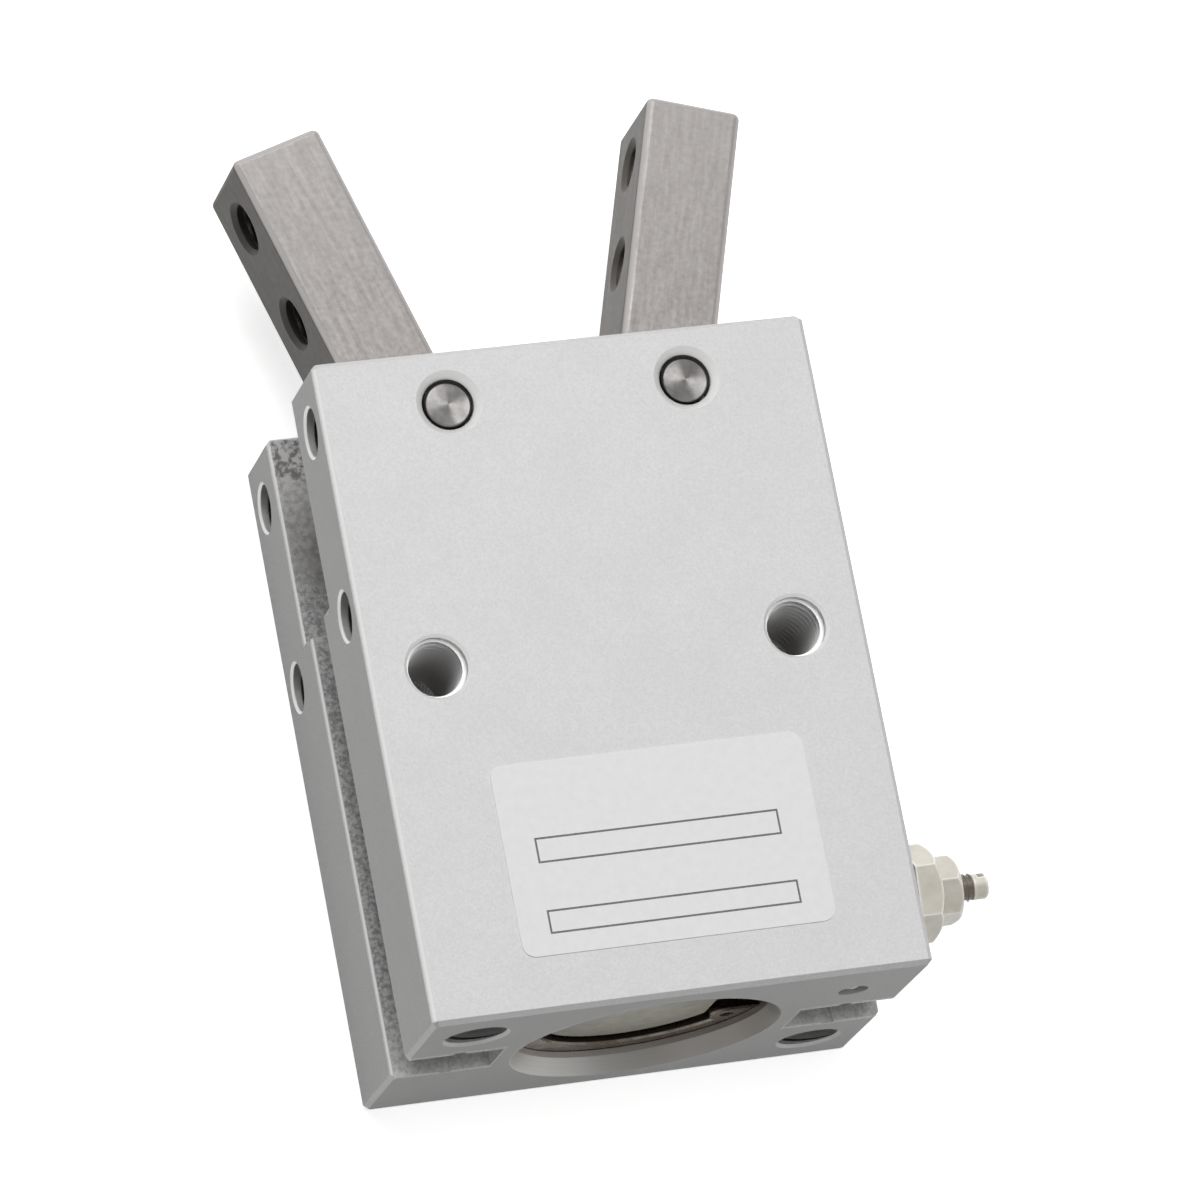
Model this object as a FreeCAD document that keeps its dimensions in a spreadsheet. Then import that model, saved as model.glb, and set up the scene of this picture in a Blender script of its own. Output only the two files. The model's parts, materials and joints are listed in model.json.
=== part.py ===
"""Pneumatic angular gripper: two bell-crank fingers driven by one double-acting piston.

Millimetres. The origin is the middle of the tail face. X is the opening direction, Y runs from
the tail to the fingertips and Z points out of the front face. The fingers are drawn open.
"""
import FreeCAD, Part
import os
import Sketcher

# Driving dimensions, one cell of the sheet each
SIZES = {
    # Body block, its edge breaks and the switch groove in each side
    "body_length": 55.2,
    "body_width": 41.5,
    "body_depth": 27.0,
    "body_edge": 0.4,
    "groove_width": 5.4,
    "groove_depth": 8.3,
    "groove_edge": 0.3,
    "undercut_width": 1.0,
    "undercut_depth": 0.5,
    "undercut_inset": 4.55,
    # Finger slot across the head of the body
    "jaw_slot_depth": 18.0,
    "jaw_slot_edge": 0.3,
    # Stepped bore: mouth, ring groove, cap seat, cylinder and rod gland
    "mouth_diameter": 22.2,
    "mouth_depth": 1.4,
    "cap_diameter": 21.0,
    "cap_seat_depth": 7.0,
    "ring_groove_diameter": 22.2,
    "ring_inset": 1.9,
    "bore_diameter": 20.0,
    "bore_depth": 25.2,
    "seal_diameter": 12.0,
    "seal_length": 3.0,
    "bush_diameter": 10.0,
    # Tapped holes at their nominal diameter, with the width of their mouths
    "m5_diameter": 5.0,
    "m5_mouth": 5.5,
    "m4_diameter": 4.0,
    "m4_mouth": 4.4,
    "tail_hole_spacing_x": 32.0,
    "tail_hole_spacing_z": 16.0,
    "tail_hole_depth": 7.5,
    "front_hole_spacing": 30.0,
    "front_hole_height": 29.0,
    "side_hole_height": 35.1,
    "side_hole_spacing_y": 15.6,
    "side_hole_spacing_z": 19.2,
    "side_hole_depth": 6.0,
    # Air ports in the right side
    "port_inset": 5.5,
    "rear_port_height": 11.2,
    "front_port_height": 23.2,
    "port_depth": 5.0,
    "port_passage": 2.0,
    # Fingers
    "finger_thickness": 10.0,
    "finger_width": 8.0,
    "finger_reach": 27.6,
    "finger_edge": 0.6,
    "finger_side_gap": 0.1,
    "jaw_mouth": 4.8,
    "jaw_hole_inset": 4.4,
    "jaw_hole_pitch": 9.0,
    "open_angle": 17.0,
    "swing_angle": 22.0,
    # Fork arm of a finger: its slot lies level in the middle of the swing
    "arm_gap": 2.1,
    "arm_drop": 3.0,
    "arm_height": 8.2,
    "arm_reach": 12.8,
    "fork_start": 9.3,
    "fork_gap": 0.1,
    # Pivot pins and their wells in the faces of the body
    "pivot_spacing": 20.0,
    "pivot_drop": 4.4,
    "pivot_diameter": 4.0,
    "press_gap": 0.01,
    "running_gap": 0.03,
    "pin_recess": 0.4,
    "pin_chamfer": 0.2,
    "pin_well_diameter": 4.3,
    "pin_well_depth": 2.6,
    "pin_mouth": 5.5,
    # Rod, its tongue and the centre pin
    "rod_diameter": 8.0,
    "tongue_thickness": 3.8,
    "tongue_shoulder": 6.1,
    "tongue_top": 4.0,
    "tongue_round": 1.8,
    "center_pin_diameter": 4.0,
    "center_pin_length": 9.8,
    "spigot_diameter": 6.0,
    # Piston and what it carries
    "piston_length": 10.5,
    "piston_gap": 0.05,
    "piston_land_diameter": 17.4,
    "piston_land_length": 2.2,
    "piston_rim": 0.7,
    "piston_seal_width": 2.2,
    "piston_seal_depth": 2.15,
    "seal_gap": 0.04,
    "seal_notch": 0.8,
    "screw_diameter": 4.0,
    "screw_head_diameter": 7.0,
    "screw_head_height": 4.0,
    "screw_grip": 8.0,
    "screw_socket": 3.0,
    "screw_socket_depth": 2.0,
    "screw_well_gap": 0.2,
    # Rubber bumpers
    "bumper_gap": 0.1,
    "bumper_stand": 0.8,
    "bumper_seat": 0.5,
    "bumper_rim": 0.5,
    "bumper_width": 1.8,
    # End cap with its ring seal and retaining ring
    "cap_gap": 0.02,
    "cap_boss_diameter": 14.0,
    "cap_face_diameter": 16.4,
    "cap_face_rise": 0.5,
    "cap_face_edge": 0.15,
    "cap_seal_width": 1.8,
    "cap_seal_depth": 1.3,
    "ring_thickness": 1.0,
    "ring_side_gap": 0.05,
    "ring_rim_gap": 0.1,
    "ring_inner_diameter": 17.7,
    "ring_eccentric": 0.35,
    "ring_opening": 5.0,
    "lug_diameter": 2.8,
    "lug_radius": 9.1,
    "lug_spread": 25.0,
    "lug_eye_diameter": 1.2,
    "lug_gap": 0.2,
    # Needle valve on the right side
    "valve_height": 7.0,
    "valve_inset": 5.2,
    "valve_hole_depth": 7.0,
    "valve_shank_length": 3.6,
    "valve_hex": 7.0,
    "valve_hex_height": 2.1,
    "gasket_thickness": 0.5,
    "gasket_diameter": 6.6,
    "valve_turn": -10.0,
    "nut_hex": 5.0,
    "nut_height": 2.0,
    "nut_turn": 34.5,
    "hex_chamfer": 0.4,
    "needle_diameter": 2.6,
    "needle_stand": 7.3,
    "needle_end_diameter": 2.1,
    "needle_end_length": 1.2,
    "needle_slot_width": 0.6,
    "needle_slot_depth": 0.8,
    "needle_slot_turn": 50.0,
    "needle_tip_length": 6.4,
    "needle_seal_width": 1.0,
    "needle_seal_depth": 0.6,
    # Plugged air passage drilled from the tail
    "passage_offset_x": 15.6,
    "passage_inset": 6.1,
    "passage_diameter": 2.0,
    "passage_depth": 8.0,
    "plug_diameter": 2.5,
    "plug_depth": 1.4,
}

# Places that several pieces share, worked out from the driving dimensions
HALF_WIDTH = "size.body_width / 2"
HALF_DEPTH = "size.body_depth / 2"
SLOT_FLOOR = "(size.body_length - size.jaw_slot_depth)"
PIVOT_X = "size.pivot_spacing / 2"
PIVOT_Y = "(size.body_length - size.pivot_drop)"
HALF_SWING = "size.swing_angle / 2"
CENTER_PIN_Y = (
    f"({PIVOT_Y} + {PIVOT_X} * tan({HALF_SWING}) - size.arm_drop / cos({HALF_SWING}))"
)
STROKE = f"(size.pivot_spacing * tan({HALF_SWING}))"
GLAND_END = "(size.bore_depth + size.seal_length)"
PISTON_FRONT = "(size.bore_depth - size.bumper_stand - size.bumper_gap)"
PISTON_REAR = f"({PISTON_FRONT} - size.piston_length)"
SCREW_SEAT = f"({PISTON_REAR} + size.screw_head_height + size.screw_well_gap)"
CAP_FACE = "(size.ring_inset + size.ring_thickness + 2 * size.ring_side_gap)"
CAP_BOSS_END = f"({PISTON_REAR} - {STROKE} - size.bumper_gap - size.bumper_stand)"
CAP_SEAL_MIDDLE = f"(({CAP_FACE} + size.cap_seat_depth) / 2)"
LUG_X = "(size.lug_radius * cos(size.lug_spread))"
VALVE_Z = f"({HALF_DEPTH} - size.valve_inset)"
PASSAGE_Z = f"({HALF_DEPTH} - size.passage_inset)"

doc = FreeCAD.newDocument("angular_gripper")
sheet = doc.addObject("Spreadsheet::Sheet", "size")
for row, (alias, number) in enumerate(SIZES.items(), start=1):
    sheet.set(f"A{row}", alias)
    sheet.set(f"B{row}", str(number))
    sheet.setAlias(f"B{row}", alias)
doc.recompute()

pieces = []


def value(expression):
    """Number that an expression on the sheet gives."""
    return float(sheet.evalExpression(expression))


def new_body(name):
    """Empty body of the document, kept as one of the pieces."""
    body = doc.addObject("PartDesign::Body", name)
    body.Label = name
    pieces.append(body)
    return body


def place(piece, x="0", y="0", z="0", rotation=None):
    """Put a piece at a point given by expressions, after an optional fixed turn."""
    if rotation is not None:
        piece.Placement = FreeCAD.Placement(FreeCAD.Vector(), rotation)
    for axis, expression in zip("xyz", (x, y, z)):
        piece.setExpression(f".Placement.Base.{axis}", expression)


# Sketches

def sketch_on(body, name, plane, offset="0", turn="0"):
    """Sketch on one of the body's own origin planes, moved along and turned about its normal."""
    sketch = body.newObject("Sketcher::SketchObject", name)
    support = [item for item in body.Origin.OriginFeatures if item.Role == plane]
    sketch.AttachmentSupport = [(support[0], "")]
    sketch.MapMode = "FlatFace"
    sketch.setExpression(".AttachmentOffset.Base.z", offset)
    sketch.setExpression(".AttachmentOffset.Rotation.Angle", turn)
    return sketch


def bind(sketch, constraint, expression):
    """Add a dimension to a sketch and tie it to an expression."""
    index = sketch.addConstraint(constraint)
    sketch.setExpression(f"Constraints[{index}]", expression)


def bind_point(sketch, geometry, point, x, y):
    """Tie one point of a sketch to its two coordinates."""
    bind(sketch, Sketcher.Constraint("DistanceX", -1, 1, geometry, point, value(x)), x)
    bind(sketch, Sketcher.Constraint("DistanceY", -1, 1, geometry, point, value(y)), y)


def add_polygon(sketch, corners):
    """Closed outline through corners, each a pair of expressions."""
    spots = [FreeCAD.Vector(value(x), value(y), 0) for x, y in corners]
    first = sketch.GeometryCount
    for start, end in zip(spots, spots[1:] + spots[:1]):
        sketch.addGeometry(Part.LineSegment(start, end))
    last = first + len(corners) - 1
    for index, (x, y) in enumerate(corners, start=first):
        follower = first if index == last else index + 1
        sketch.addConstraint(Sketcher.Constraint("Coincident", index, 2, follower, 1))
        bind_point(sketch, index, 1, x, y)


def add_rectangle(sketch, left, right, low, high):
    """Closed rectangle between two abscissas and two ordinates."""
    add_polygon(sketch, [(left, low), (right, low), (right, high), (left, high)])


def add_circle(sketch, x, y, diameter):
    """Circle about a bound centre."""
    centre = FreeCAD.Vector(value(x), value(y), 0)
    index = sketch.addGeometry(Part.Circle(centre, FreeCAD.Vector(0, 0, 1), value(diameter) / 2))
    bind_point(sketch, index, 3, x, y)
    bind(sketch, Sketcher.Constraint("Diameter", index, value(diameter)), diameter)


# Features

def settle(feature, adds):
    """Recompute and make sure that a feature added to its body, or cut from it."""
    doc.recompute()
    before = feature.BaseFeature.Shape.Volume if feature.BaseFeature else 0.0
    change = feature.Shape.Volume - before
    if (change > 0) != adds or abs(change) < 1e-6:
        raise RuntimeError(f"{feature.Label} changes the volume by {change:.6f}")
    return feature


def extrude(body, kind, name, sketch, length, symmetric=False, reverse=False):
    """Pad or Pocket of a sketch."""
    feature = body.newObject(f"PartDesign::{kind}", name)
    feature.Profile = sketch
    feature.SideType = "Symmetric" if symmetric else "One side"
    feature.Reversed = reverse
    feature.setExpression("Length", length)
    return settle(feature, adds=kind == "Pad")


def revolve(body, kind, name, outline):
    """Revolution or Groove of an outline of (radius, height) corners about the Y axis."""
    sketch = sketch_on(body, f"{name}_outline", "XY_Plane")
    add_polygon(sketch, outline)
    feature = body.newObject(f"PartDesign::{kind}", name)
    feature.Profile = sketch
    feature.ReferenceAxis = (sketch, ["V_Axis"])
    return settle(feature, adds=kind == "Revolution")


def drill(body, name, plane, offset, centres, diameter, depth, mouth, reverse=False):
    """Flat-bottomed round holes with a 90 degree mouth, from a plane into the body."""
    sketch = sketch_on(body, f"{name}_centres", plane, offset)
    for x, y in centres:
        add_circle(sketch, x, y, diameter)
    doc.recompute()
    hole = body.newObject("PartDesign::Hole", name)
    hole.Profile = sketch
    doc.recompute()
    hole.DepthType = "Dimension"
    hole.DrillPoint = "Flat"
    hole.HoleCutType = "Countersink"
    hole.HoleCutCustomValues = True
    hole.HoleCutCountersinkAngle = 90
    hole.Reversed = reverse
    hole.setExpression("Diameter", diameter)
    hole.setExpression("Depth", depth)
    hole.setExpression("HoleCutDiameter", mouth)
    return settle(hole, adds=False)


def edges_where(shape, test):
    """Names of the edges of a shape whose two ends and middle pass a test."""
    names = []
    for index, edge in enumerate(shape.Edges, start=1):
        middle = edge.valueAt((edge.FirstParameter + edge.LastParameter) / 2)
        ends = [vertex.Point for vertex in edge.Vertexes]
        if test(middle, ends):
            names.append(f"Edge{index}")
    return names


def break_edges(body, kind, name, size_property, size_expression, test):
    """Chamfer or Fillet on the edges of the body's last feature that pass a test."""
    base = body.Tip
    feature = body.newObject(f"PartDesign::{kind}", name)
    feature.Base = (base, edges_where(base.Shape, test))
    feature.setExpression(size_property, size_expression)
    return settle(feature, adds=False)


def turned(name, outline, x="0", y="0", z="0", rotation=None):
    """Piece turned from an outline of (radius, height) corners about its own Y axis."""
    body = new_body(name)
    revolve(body, "Revolution", f"{name}_turning", outline)
    place(body, x, y, z, rotation)
    return body


def pin_outline(diameter, low, high, chamfer):
    """Outline of a round bar with both ends chamfered."""
    radius = f"{diameter} / 2"
    return [
        ("0", low),
        (f"{radius} - {chamfer}", low),
        (radius, f"{low} + {chamfer}"),
        (radius, f"{high} - {chamfer}"),
        (f"{radius} - {chamfer}", high),
        ("0", high),
    ]


def ring_outline(inner, outer, low, high):
    """Outline of a plain ring between two radii and two heights."""
    return [(inner, low), (outer, low), (outer, high), (inner, high)]


def seal_outline(floor, wall, middle, gap):
    """Outline of a ring seal squeezed between a groove's floor and a wall: a circle pressed eight-sided."""
    radius = f"(({wall} - {floor}) / 2 - {gap})"
    centre = f"(({wall} + {floor}) / 2)"
    flat = f"({radius} * tan(22.5))"
    return [
        (f"{centre} - {radius}", f"{middle} - {flat}"),
        (f"{centre} - {flat}", f"{middle} - {radius}"),
        (f"{centre} + {flat}", f"{middle} - {radius}"),
        (f"{centre} + {radius}", f"{middle} - {flat}"),
        (f"{centre} + {radius}", f"{middle} + {flat}"),
        (f"{centre} + {flat}", f"{middle} + {radius}"),
        (f"{centre} - {flat}", f"{middle} + {radius}"),
        (f"{centre} - {radius}", f"{middle} + {flat}"),
    ]


def add_hexagon(body, name, across_flats, low, height, turn):
    """Hexagon about the Y axis with its outer corners broken, fused to the body."""
    sketch = sketch_on(body, f"{name}_outline", "XZ_Plane", f"-({low})", turn)
    corner = f"({across_flats} / 2 / cos(30))"
    angles = range(0, 360, 60)
    add_polygon(sketch, [(f"{corner} * cos({a})", f"{corner} * sin({a})") for a in angles])
    extrude(body, "Pad", name, sketch, height, reverse=True)
    high = f"({low} + {height})"
    revolve(body, "Groove", f"{name}_corners", [
        (f"{across_flats} / 2", high),
        (f"{corner} + size.hex_chamfer", high),
        (f"{corner} + size.hex_chamfer", f"{high} - size.hex_chamfer"),
        (corner, f"{high} - size.hex_chamfer"),
    ])


def near(number, expression):
    """True where a coordinate is at the place that an expression gives."""
    return abs(abs(number) - value(expression)) < 1e-4


# Body block

def body_profile():
    """Cross-section of the block with its two switch grooves, as (x, z) corners."""
    wall = "size.groove_width / 2"
    undercut_out = f"{HALF_WIDTH} - size.undercut_inset + size.undercut_width / 2"
    undercut_in = f"{HALF_WIDTH} - size.undercut_inset - size.undercut_width / 2"
    undercut_wall = f"{wall} + size.undercut_depth"
    quarter = [
        (f"{HALF_WIDTH} - size.body_edge", HALF_DEPTH),
        (HALF_WIDTH, f"{HALF_DEPTH} - size.body_edge"),
        (HALF_WIDTH, f"{wall} + size.groove_edge"),
        (f"{HALF_WIDTH} - size.groove_edge", wall),
        (undercut_out, wall),
        (undercut_out, undercut_wall),
        (undercut_in, undercut_wall),
        (undercut_in, wall),
        (f"{HALF_WIDTH} - size.groove_depth", wall),
    ]
    lower_right = [(x, f"-({z})") for x, z in reversed(quarter)]
    lower_left = [(f"-({x})", f"-({z})") for x, z in quarter]
    upper_left = [(f"-({x})", z) for x, z in reversed(quarter)]
    return quarter + lower_right + lower_left + upper_left


def make_body():
    body = new_body("body")
    section = sketch_on(body, "body_section", "XZ_Plane")
    add_polygon(section, body_profile())
    extrude(body, "Pad", "body_block", section, "size.body_length", reverse=True)

    edge_x = value(f"{HALF_WIDTH} - size.body_edge")
    edge_z = value(f"{HALF_DEPTH} - size.body_edge")
    groove_z = value("size.groove_width / 2 + size.groove_edge")
    length = value("size.body_length")

    def is_rim(middle, ends):
        on_end = min(abs(middle.y), abs(middle.y - length)) < 1e-4
        outside = abs(middle.x) > edge_x - 1e-4 or abs(middle.z) > edge_z - 1e-4
        return on_end and outside and abs(middle.z) > groove_z

    break_edges(body, "Chamfer", "body_rim", "Size", "size.body_edge", is_rim)

    slot = sketch_on(body, "jaw_slot_outline", "XY_Plane")
    beyond = f"({HALF_WIDTH} + size.finger_width)"
    add_rectangle(slot, f"-{beyond}", beyond, SLOT_FLOOR, "size.body_length + size.finger_width")
    slot_width = "(size.finger_thickness + 2 * size.finger_side_gap)"
    extrude(body, "Pocket", "jaw_slot", slot, slot_width, symmetric=True)

    def is_slot_edge(middle, ends):
        on_wall = all(near(point.z, f"{slot_width} / 2") for point in ends + [middle])
        return on_wall and middle.y > value(SLOT_FLOOR) + 1e-3

    break_edges(body, "Chamfer", "jaw_slot_rim", "Size", "size.jaw_slot_edge", is_slot_edge)

    bore = "size.bore_diameter / 2"
    seat = "size.cap_diameter / 2"
    ring_groove = "size.ring_groove_diameter / 2"
    gland = "size.seal_diameter / 2"
    bush = "size.bush_diameter / 2"
    revolve(body, "Groove", "cylinder_bore", [
        ("0", "0"),
        ("size.mouth_diameter / 2", "0"),
        (seat, "size.mouth_depth"),
        (seat, "size.ring_inset"),
        (ring_groove, "size.ring_inset"),
        (ring_groove, CAP_FACE),
        (seat, CAP_FACE),
        (seat, "size.cap_seat_depth"),
        (bore, "size.cap_seat_depth"),
        (bore, "size.bore_depth"),
        (gland, "size.bore_depth"),
        (gland, GLAND_END),
        (bush, GLAND_END),
        (bush, f"{SLOT_FLOOR} + size.jaw_slot_edge"),
        ("0", f"{SLOT_FLOOR} + size.jaw_slot_edge"),
    ])
    drill_mounting_holes(body)
    drill_air_holes(body)
    drill_pivots(body)


def drill_mounting_holes(body):
    tail_x = "size.tail_hole_spacing_x / 2"
    tail_z = "size.tail_hole_spacing_z / 2"
    drill(body, "tail_holes", "XZ_Plane", "0", [(f"-({tail_x})", tail_z), (tail_x, f"-({tail_z})")],
          "size.m5_diameter", "size.tail_hole_depth", "size.m5_mouth")

    front_x = "size.front_hole_spacing / 2"
    front_centres = [(f"-({front_x})", "size.front_hole_height"), (front_x, "size.front_hole_height")]
    for name, offset, reverse in (("front", HALF_DEPTH, False), ("back", f"-({HALF_DEPTH})", True)):
        drill(body, f"{name}_holes", "XY_Plane", offset, front_centres,
              "size.m5_diameter", HALF_DEPTH, "size.m5_mouth", reverse)

    heights = ("size.side_hole_height", "size.side_hole_height + size.side_hole_spacing_y")
    side_z = "size.side_hole_spacing_z / 2"
    side_centres = [(y, z) for y in heights for z in (side_z, f"-({side_z})")]
    for name, offset, reverse in (("right", HALF_WIDTH, False), ("left", f"-({HALF_WIDTH})", True)):
        drill(body, f"{name}_side_holes", "YZ_Plane", offset, side_centres,
              "size.m4_diameter", "size.side_hole_depth", "size.m4_mouth", reverse)


def drill_air_holes(body):
    port_z = f"size.port_inset - {HALF_DEPTH}"
    port_centres = [("size.rear_port_height", port_z), ("size.front_port_height", port_z)]
    drill(body, "air_ports", "YZ_Plane", HALF_WIDTH, port_centres,
          "size.m5_diameter", "size.port_depth", "size.m5_mouth")
    passages = sketch_on(body, "port_passage_outline", "YZ_Plane", HALF_WIDTH)
    for y, z in port_centres:
        add_circle(passages, y, z, "size.port_passage")
    extrude(body, "Pocket", "port_passages", passages, HALF_WIDTH)

    drill(body, "valve_hole", "YZ_Plane", HALF_WIDTH, [("size.valve_height", VALVE_Z)],
          "size.m5_diameter", "size.valve_hole_depth", "size.m5_mouth")
    for name, diameter, depth in (
        ("plug_seat", "size.plug_diameter", "size.plug_depth + size.plug_diameter / 2"),
        ("air_passage", "size.passage_diameter", "size.passage_depth"),
    ):
        drilling = sketch_on(body, f"{name}_outline", "XZ_Plane")
        add_circle(drilling, "size.passage_offset_x", PASSAGE_Z, diameter)
        extrude(body, "Pocket", name, drilling, depth)


def drill_pivots(body):
    centres = [(f"-({PIVOT_X})", PIVOT_Y), (PIVOT_X, PIVOT_Y)]
    snug = "size.pivot_diameter + 2 * size.press_gap"
    for name, offset, reverse in (("front", HALF_DEPTH, False), ("back", f"-({HALF_DEPTH})", True)):
        drill(body, f"{name}_pin_wells", "XY_Plane", offset, centres,
              "size.pin_well_diameter", "size.pin_well_depth", "size.pin_mouth", reverse)
    bores = sketch_on(body, "pivot_bore_outline", "XY_Plane")
    for x, y in centres:
        add_circle(bores, x, y, snug)
    extrude(body, "Pocket", "pivot_bores", bores, "size.body_depth", symmetric=True)


# Fingers: a square bar above the pivot and a forked arm towards the centre pin

def make_finger(name):
    body = new_body(name)
    half = "size.finger_width / 2"
    face = "size.finger_thickness / 2"
    bar = sketch_on(body, f"{name}_bar_outline", "XY_Plane")
    add_rectangle(bar, f"-{half}", half, "0", "size.finger_reach")
    extrude(body, "Pad", f"{name}_bar", bar, "size.finger_thickness", symmetric=True)

    def is_bar_edge(middle, ends):
        outside = [near(middle.x, half), near(middle.z, face), near(middle.y, "size.finger_reach")]
        return middle.y > 1e-3 and sum(outside) == 2

    break_edges(body, "Fillet", f"{name}_edges", "Radius", "size.finger_edge", is_bar_edge)

    heel = sketch_on(body, f"{name}_heel_outline", "XY_Plane")
    add_circle(heel, "0", "0", "size.finger_width")
    extrude(body, "Pad", f"{name}_heel", heel, "size.finger_thickness", symmetric=True)

    level = f"{HALF_SWING} - size.open_angle"
    low = "-size.arm_drop - size.arm_height / 2"
    high = "-size.arm_drop + size.arm_height / 2"
    corner = "size.finger_width / 4"
    arm = sketch_on(body, f"{name}_arm_outline", "XY_Plane", "size.arm_gap", level)
    add_polygon(arm, [
        ("0", f"-{half}"),
        (f"{half} - {corner}", low),
        (f"size.arm_reach - {corner}", low),
        ("size.arm_reach", f"{low} + {corner}"),
        ("size.arm_reach", f"{high} - {corner} / 2"),
        (f"size.arm_reach - {corner} / 2", high),
        ("0", high),
    ])
    extrude(body, "Pad", f"{name}_arm", arm, f"{face} - size.arm_gap")

    fork_width = "(size.center_pin_diameter + 2 * size.fork_gap)"
    fork = sketch_on(body, f"{name}_fork_outline", "XY_Plane", face, level)
    add_rectangle(fork, "size.fork_start", "size.arm_reach + size.fork_gap",
                  f"-size.arm_drop - {fork_width} / 2", f"-size.arm_drop + {fork_width} / 2")
    extrude(body, "Pocket", f"{name}_fork", fork, f"{face} - size.arm_gap")
    root = sketch_on(body, f"{name}_fork_root_outline", "XY_Plane", face, level)
    add_circle(root, "size.fork_start", "-size.arm_drop", fork_width)
    extrude(body, "Pocket", f"{name}_fork_root", root, f"{face} - size.arm_gap")

    pivot = sketch_on(body, f"{name}_pivot_outline", "XY_Plane")
    add_circle(pivot, "0", "0", "size.pivot_diameter + 2 * size.running_gap")
    extrude(body, "Pocket", f"{name}_pivot", pivot, "size.finger_thickness", symmetric=True)

    outer_hole = "(size.finger_reach - size.jaw_hole_inset)"
    jaw_centres = [(f"{outer_hole} - size.jaw_hole_pitch", "0"), (outer_hole, "0")]
    for side, offset, reverse in (("right", half, False), ("left", f"-{half}", True)):
        drill(body, f"{name}_{side}_jaw_holes", "YZ_Plane", offset, jaw_centres,
              "size.m4_diameter", half, "size.jaw_mouth", reverse)
    return body


def make_fingers():
    """One finger shape used twice, the right one turned half round the body's long axis."""
    left = make_finger("left_finger")
    place(left, f"-({PIVOT_X})", PIVOT_Y)
    left.setExpression(".Placement.Rotation.Angle", "size.open_angle")
    right = make_finger("right_finger")
    tilt = FreeCAD.Rotation(FreeCAD.Vector(0, 0, 1), value("size.open_angle"))
    half_turn = FreeCAD.Rotation(FreeCAD.Vector(0, 1, 0), 180)
    place(right, PIVOT_X, PIVOT_Y, rotation=half_turn.multiply(tilt))


def make_pins():
    upright = FreeCAD.Rotation(FreeCAD.Vector(1, 0, 0), 90)
    half_pin = f"({HALF_DEPTH} - size.pin_recess)"
    pivot_pin = pin_outline("size.pivot_diameter", f"-{half_pin}", half_pin, "size.pin_chamfer")
    turned("left_pivot_pin", pivot_pin, f"-({PIVOT_X})", PIVOT_Y, rotation=upright)
    turned("right_pivot_pin", pivot_pin, PIVOT_X, PIVOT_Y, rotation=upright)
    half_center = "(size.center_pin_length / 2)"
    center_pin = pin_outline("size.center_pin_diameter", f"-{half_center}", half_center, "size.pin_chamfer")
    turned("center_pin", center_pin, y=CENTER_PIN_Y, rotation=upright)


# Rod and piston

def make_rod():
    rod = "size.rod_diameter / 2"
    spigot = "size.spigot_diameter / 2"
    screw = "size.screw_diameter / 2 + size.press_gap"
    top = f"({CENTER_PIN_Y} + size.tongue_top)"
    screw_end = f"({SCREW_SEAT} + size.screw_grip + size.screw_well_gap)"
    body = new_body("piston_rod")
    revolve(body, "Revolution", "rod_turning", [
        (screw, SCREW_SEAT),
        (spigot, SCREW_SEAT),
        (spigot, PISTON_FRONT),
        (rod, PISTON_FRONT),
        (rod, f"{top} - size.tongue_round"),
        (f"{rod} - size.tongue_round", top),
        ("0", top),
        ("0", screw_end),
        (screw, screw_end),
    ])
    flats = sketch_on(body, "tongue_flats_outline", "YZ_Plane")
    shoulder = f"({CENTER_PIN_Y} - size.tongue_shoulder)"
    for side in ("", "-"):
        add_rectangle(flats, shoulder, f"{top} + size.tongue_round",
                      f"{side}size.tongue_thickness / 2", f"{side}size.rod_diameter")
    extrude(body, "Pocket", "tongue_flats", flats, "2 * size.rod_diameter", symmetric=True)
    eye = sketch_on(body, "tongue_eye_outline", "XY_Plane")
    add_circle(eye, "0", CENTER_PIN_Y, "size.center_pin_diameter + 2 * size.press_gap")
    extrude(body, "Pocket", "tongue_eye", eye, "size.rod_diameter", symmetric=True)


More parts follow.
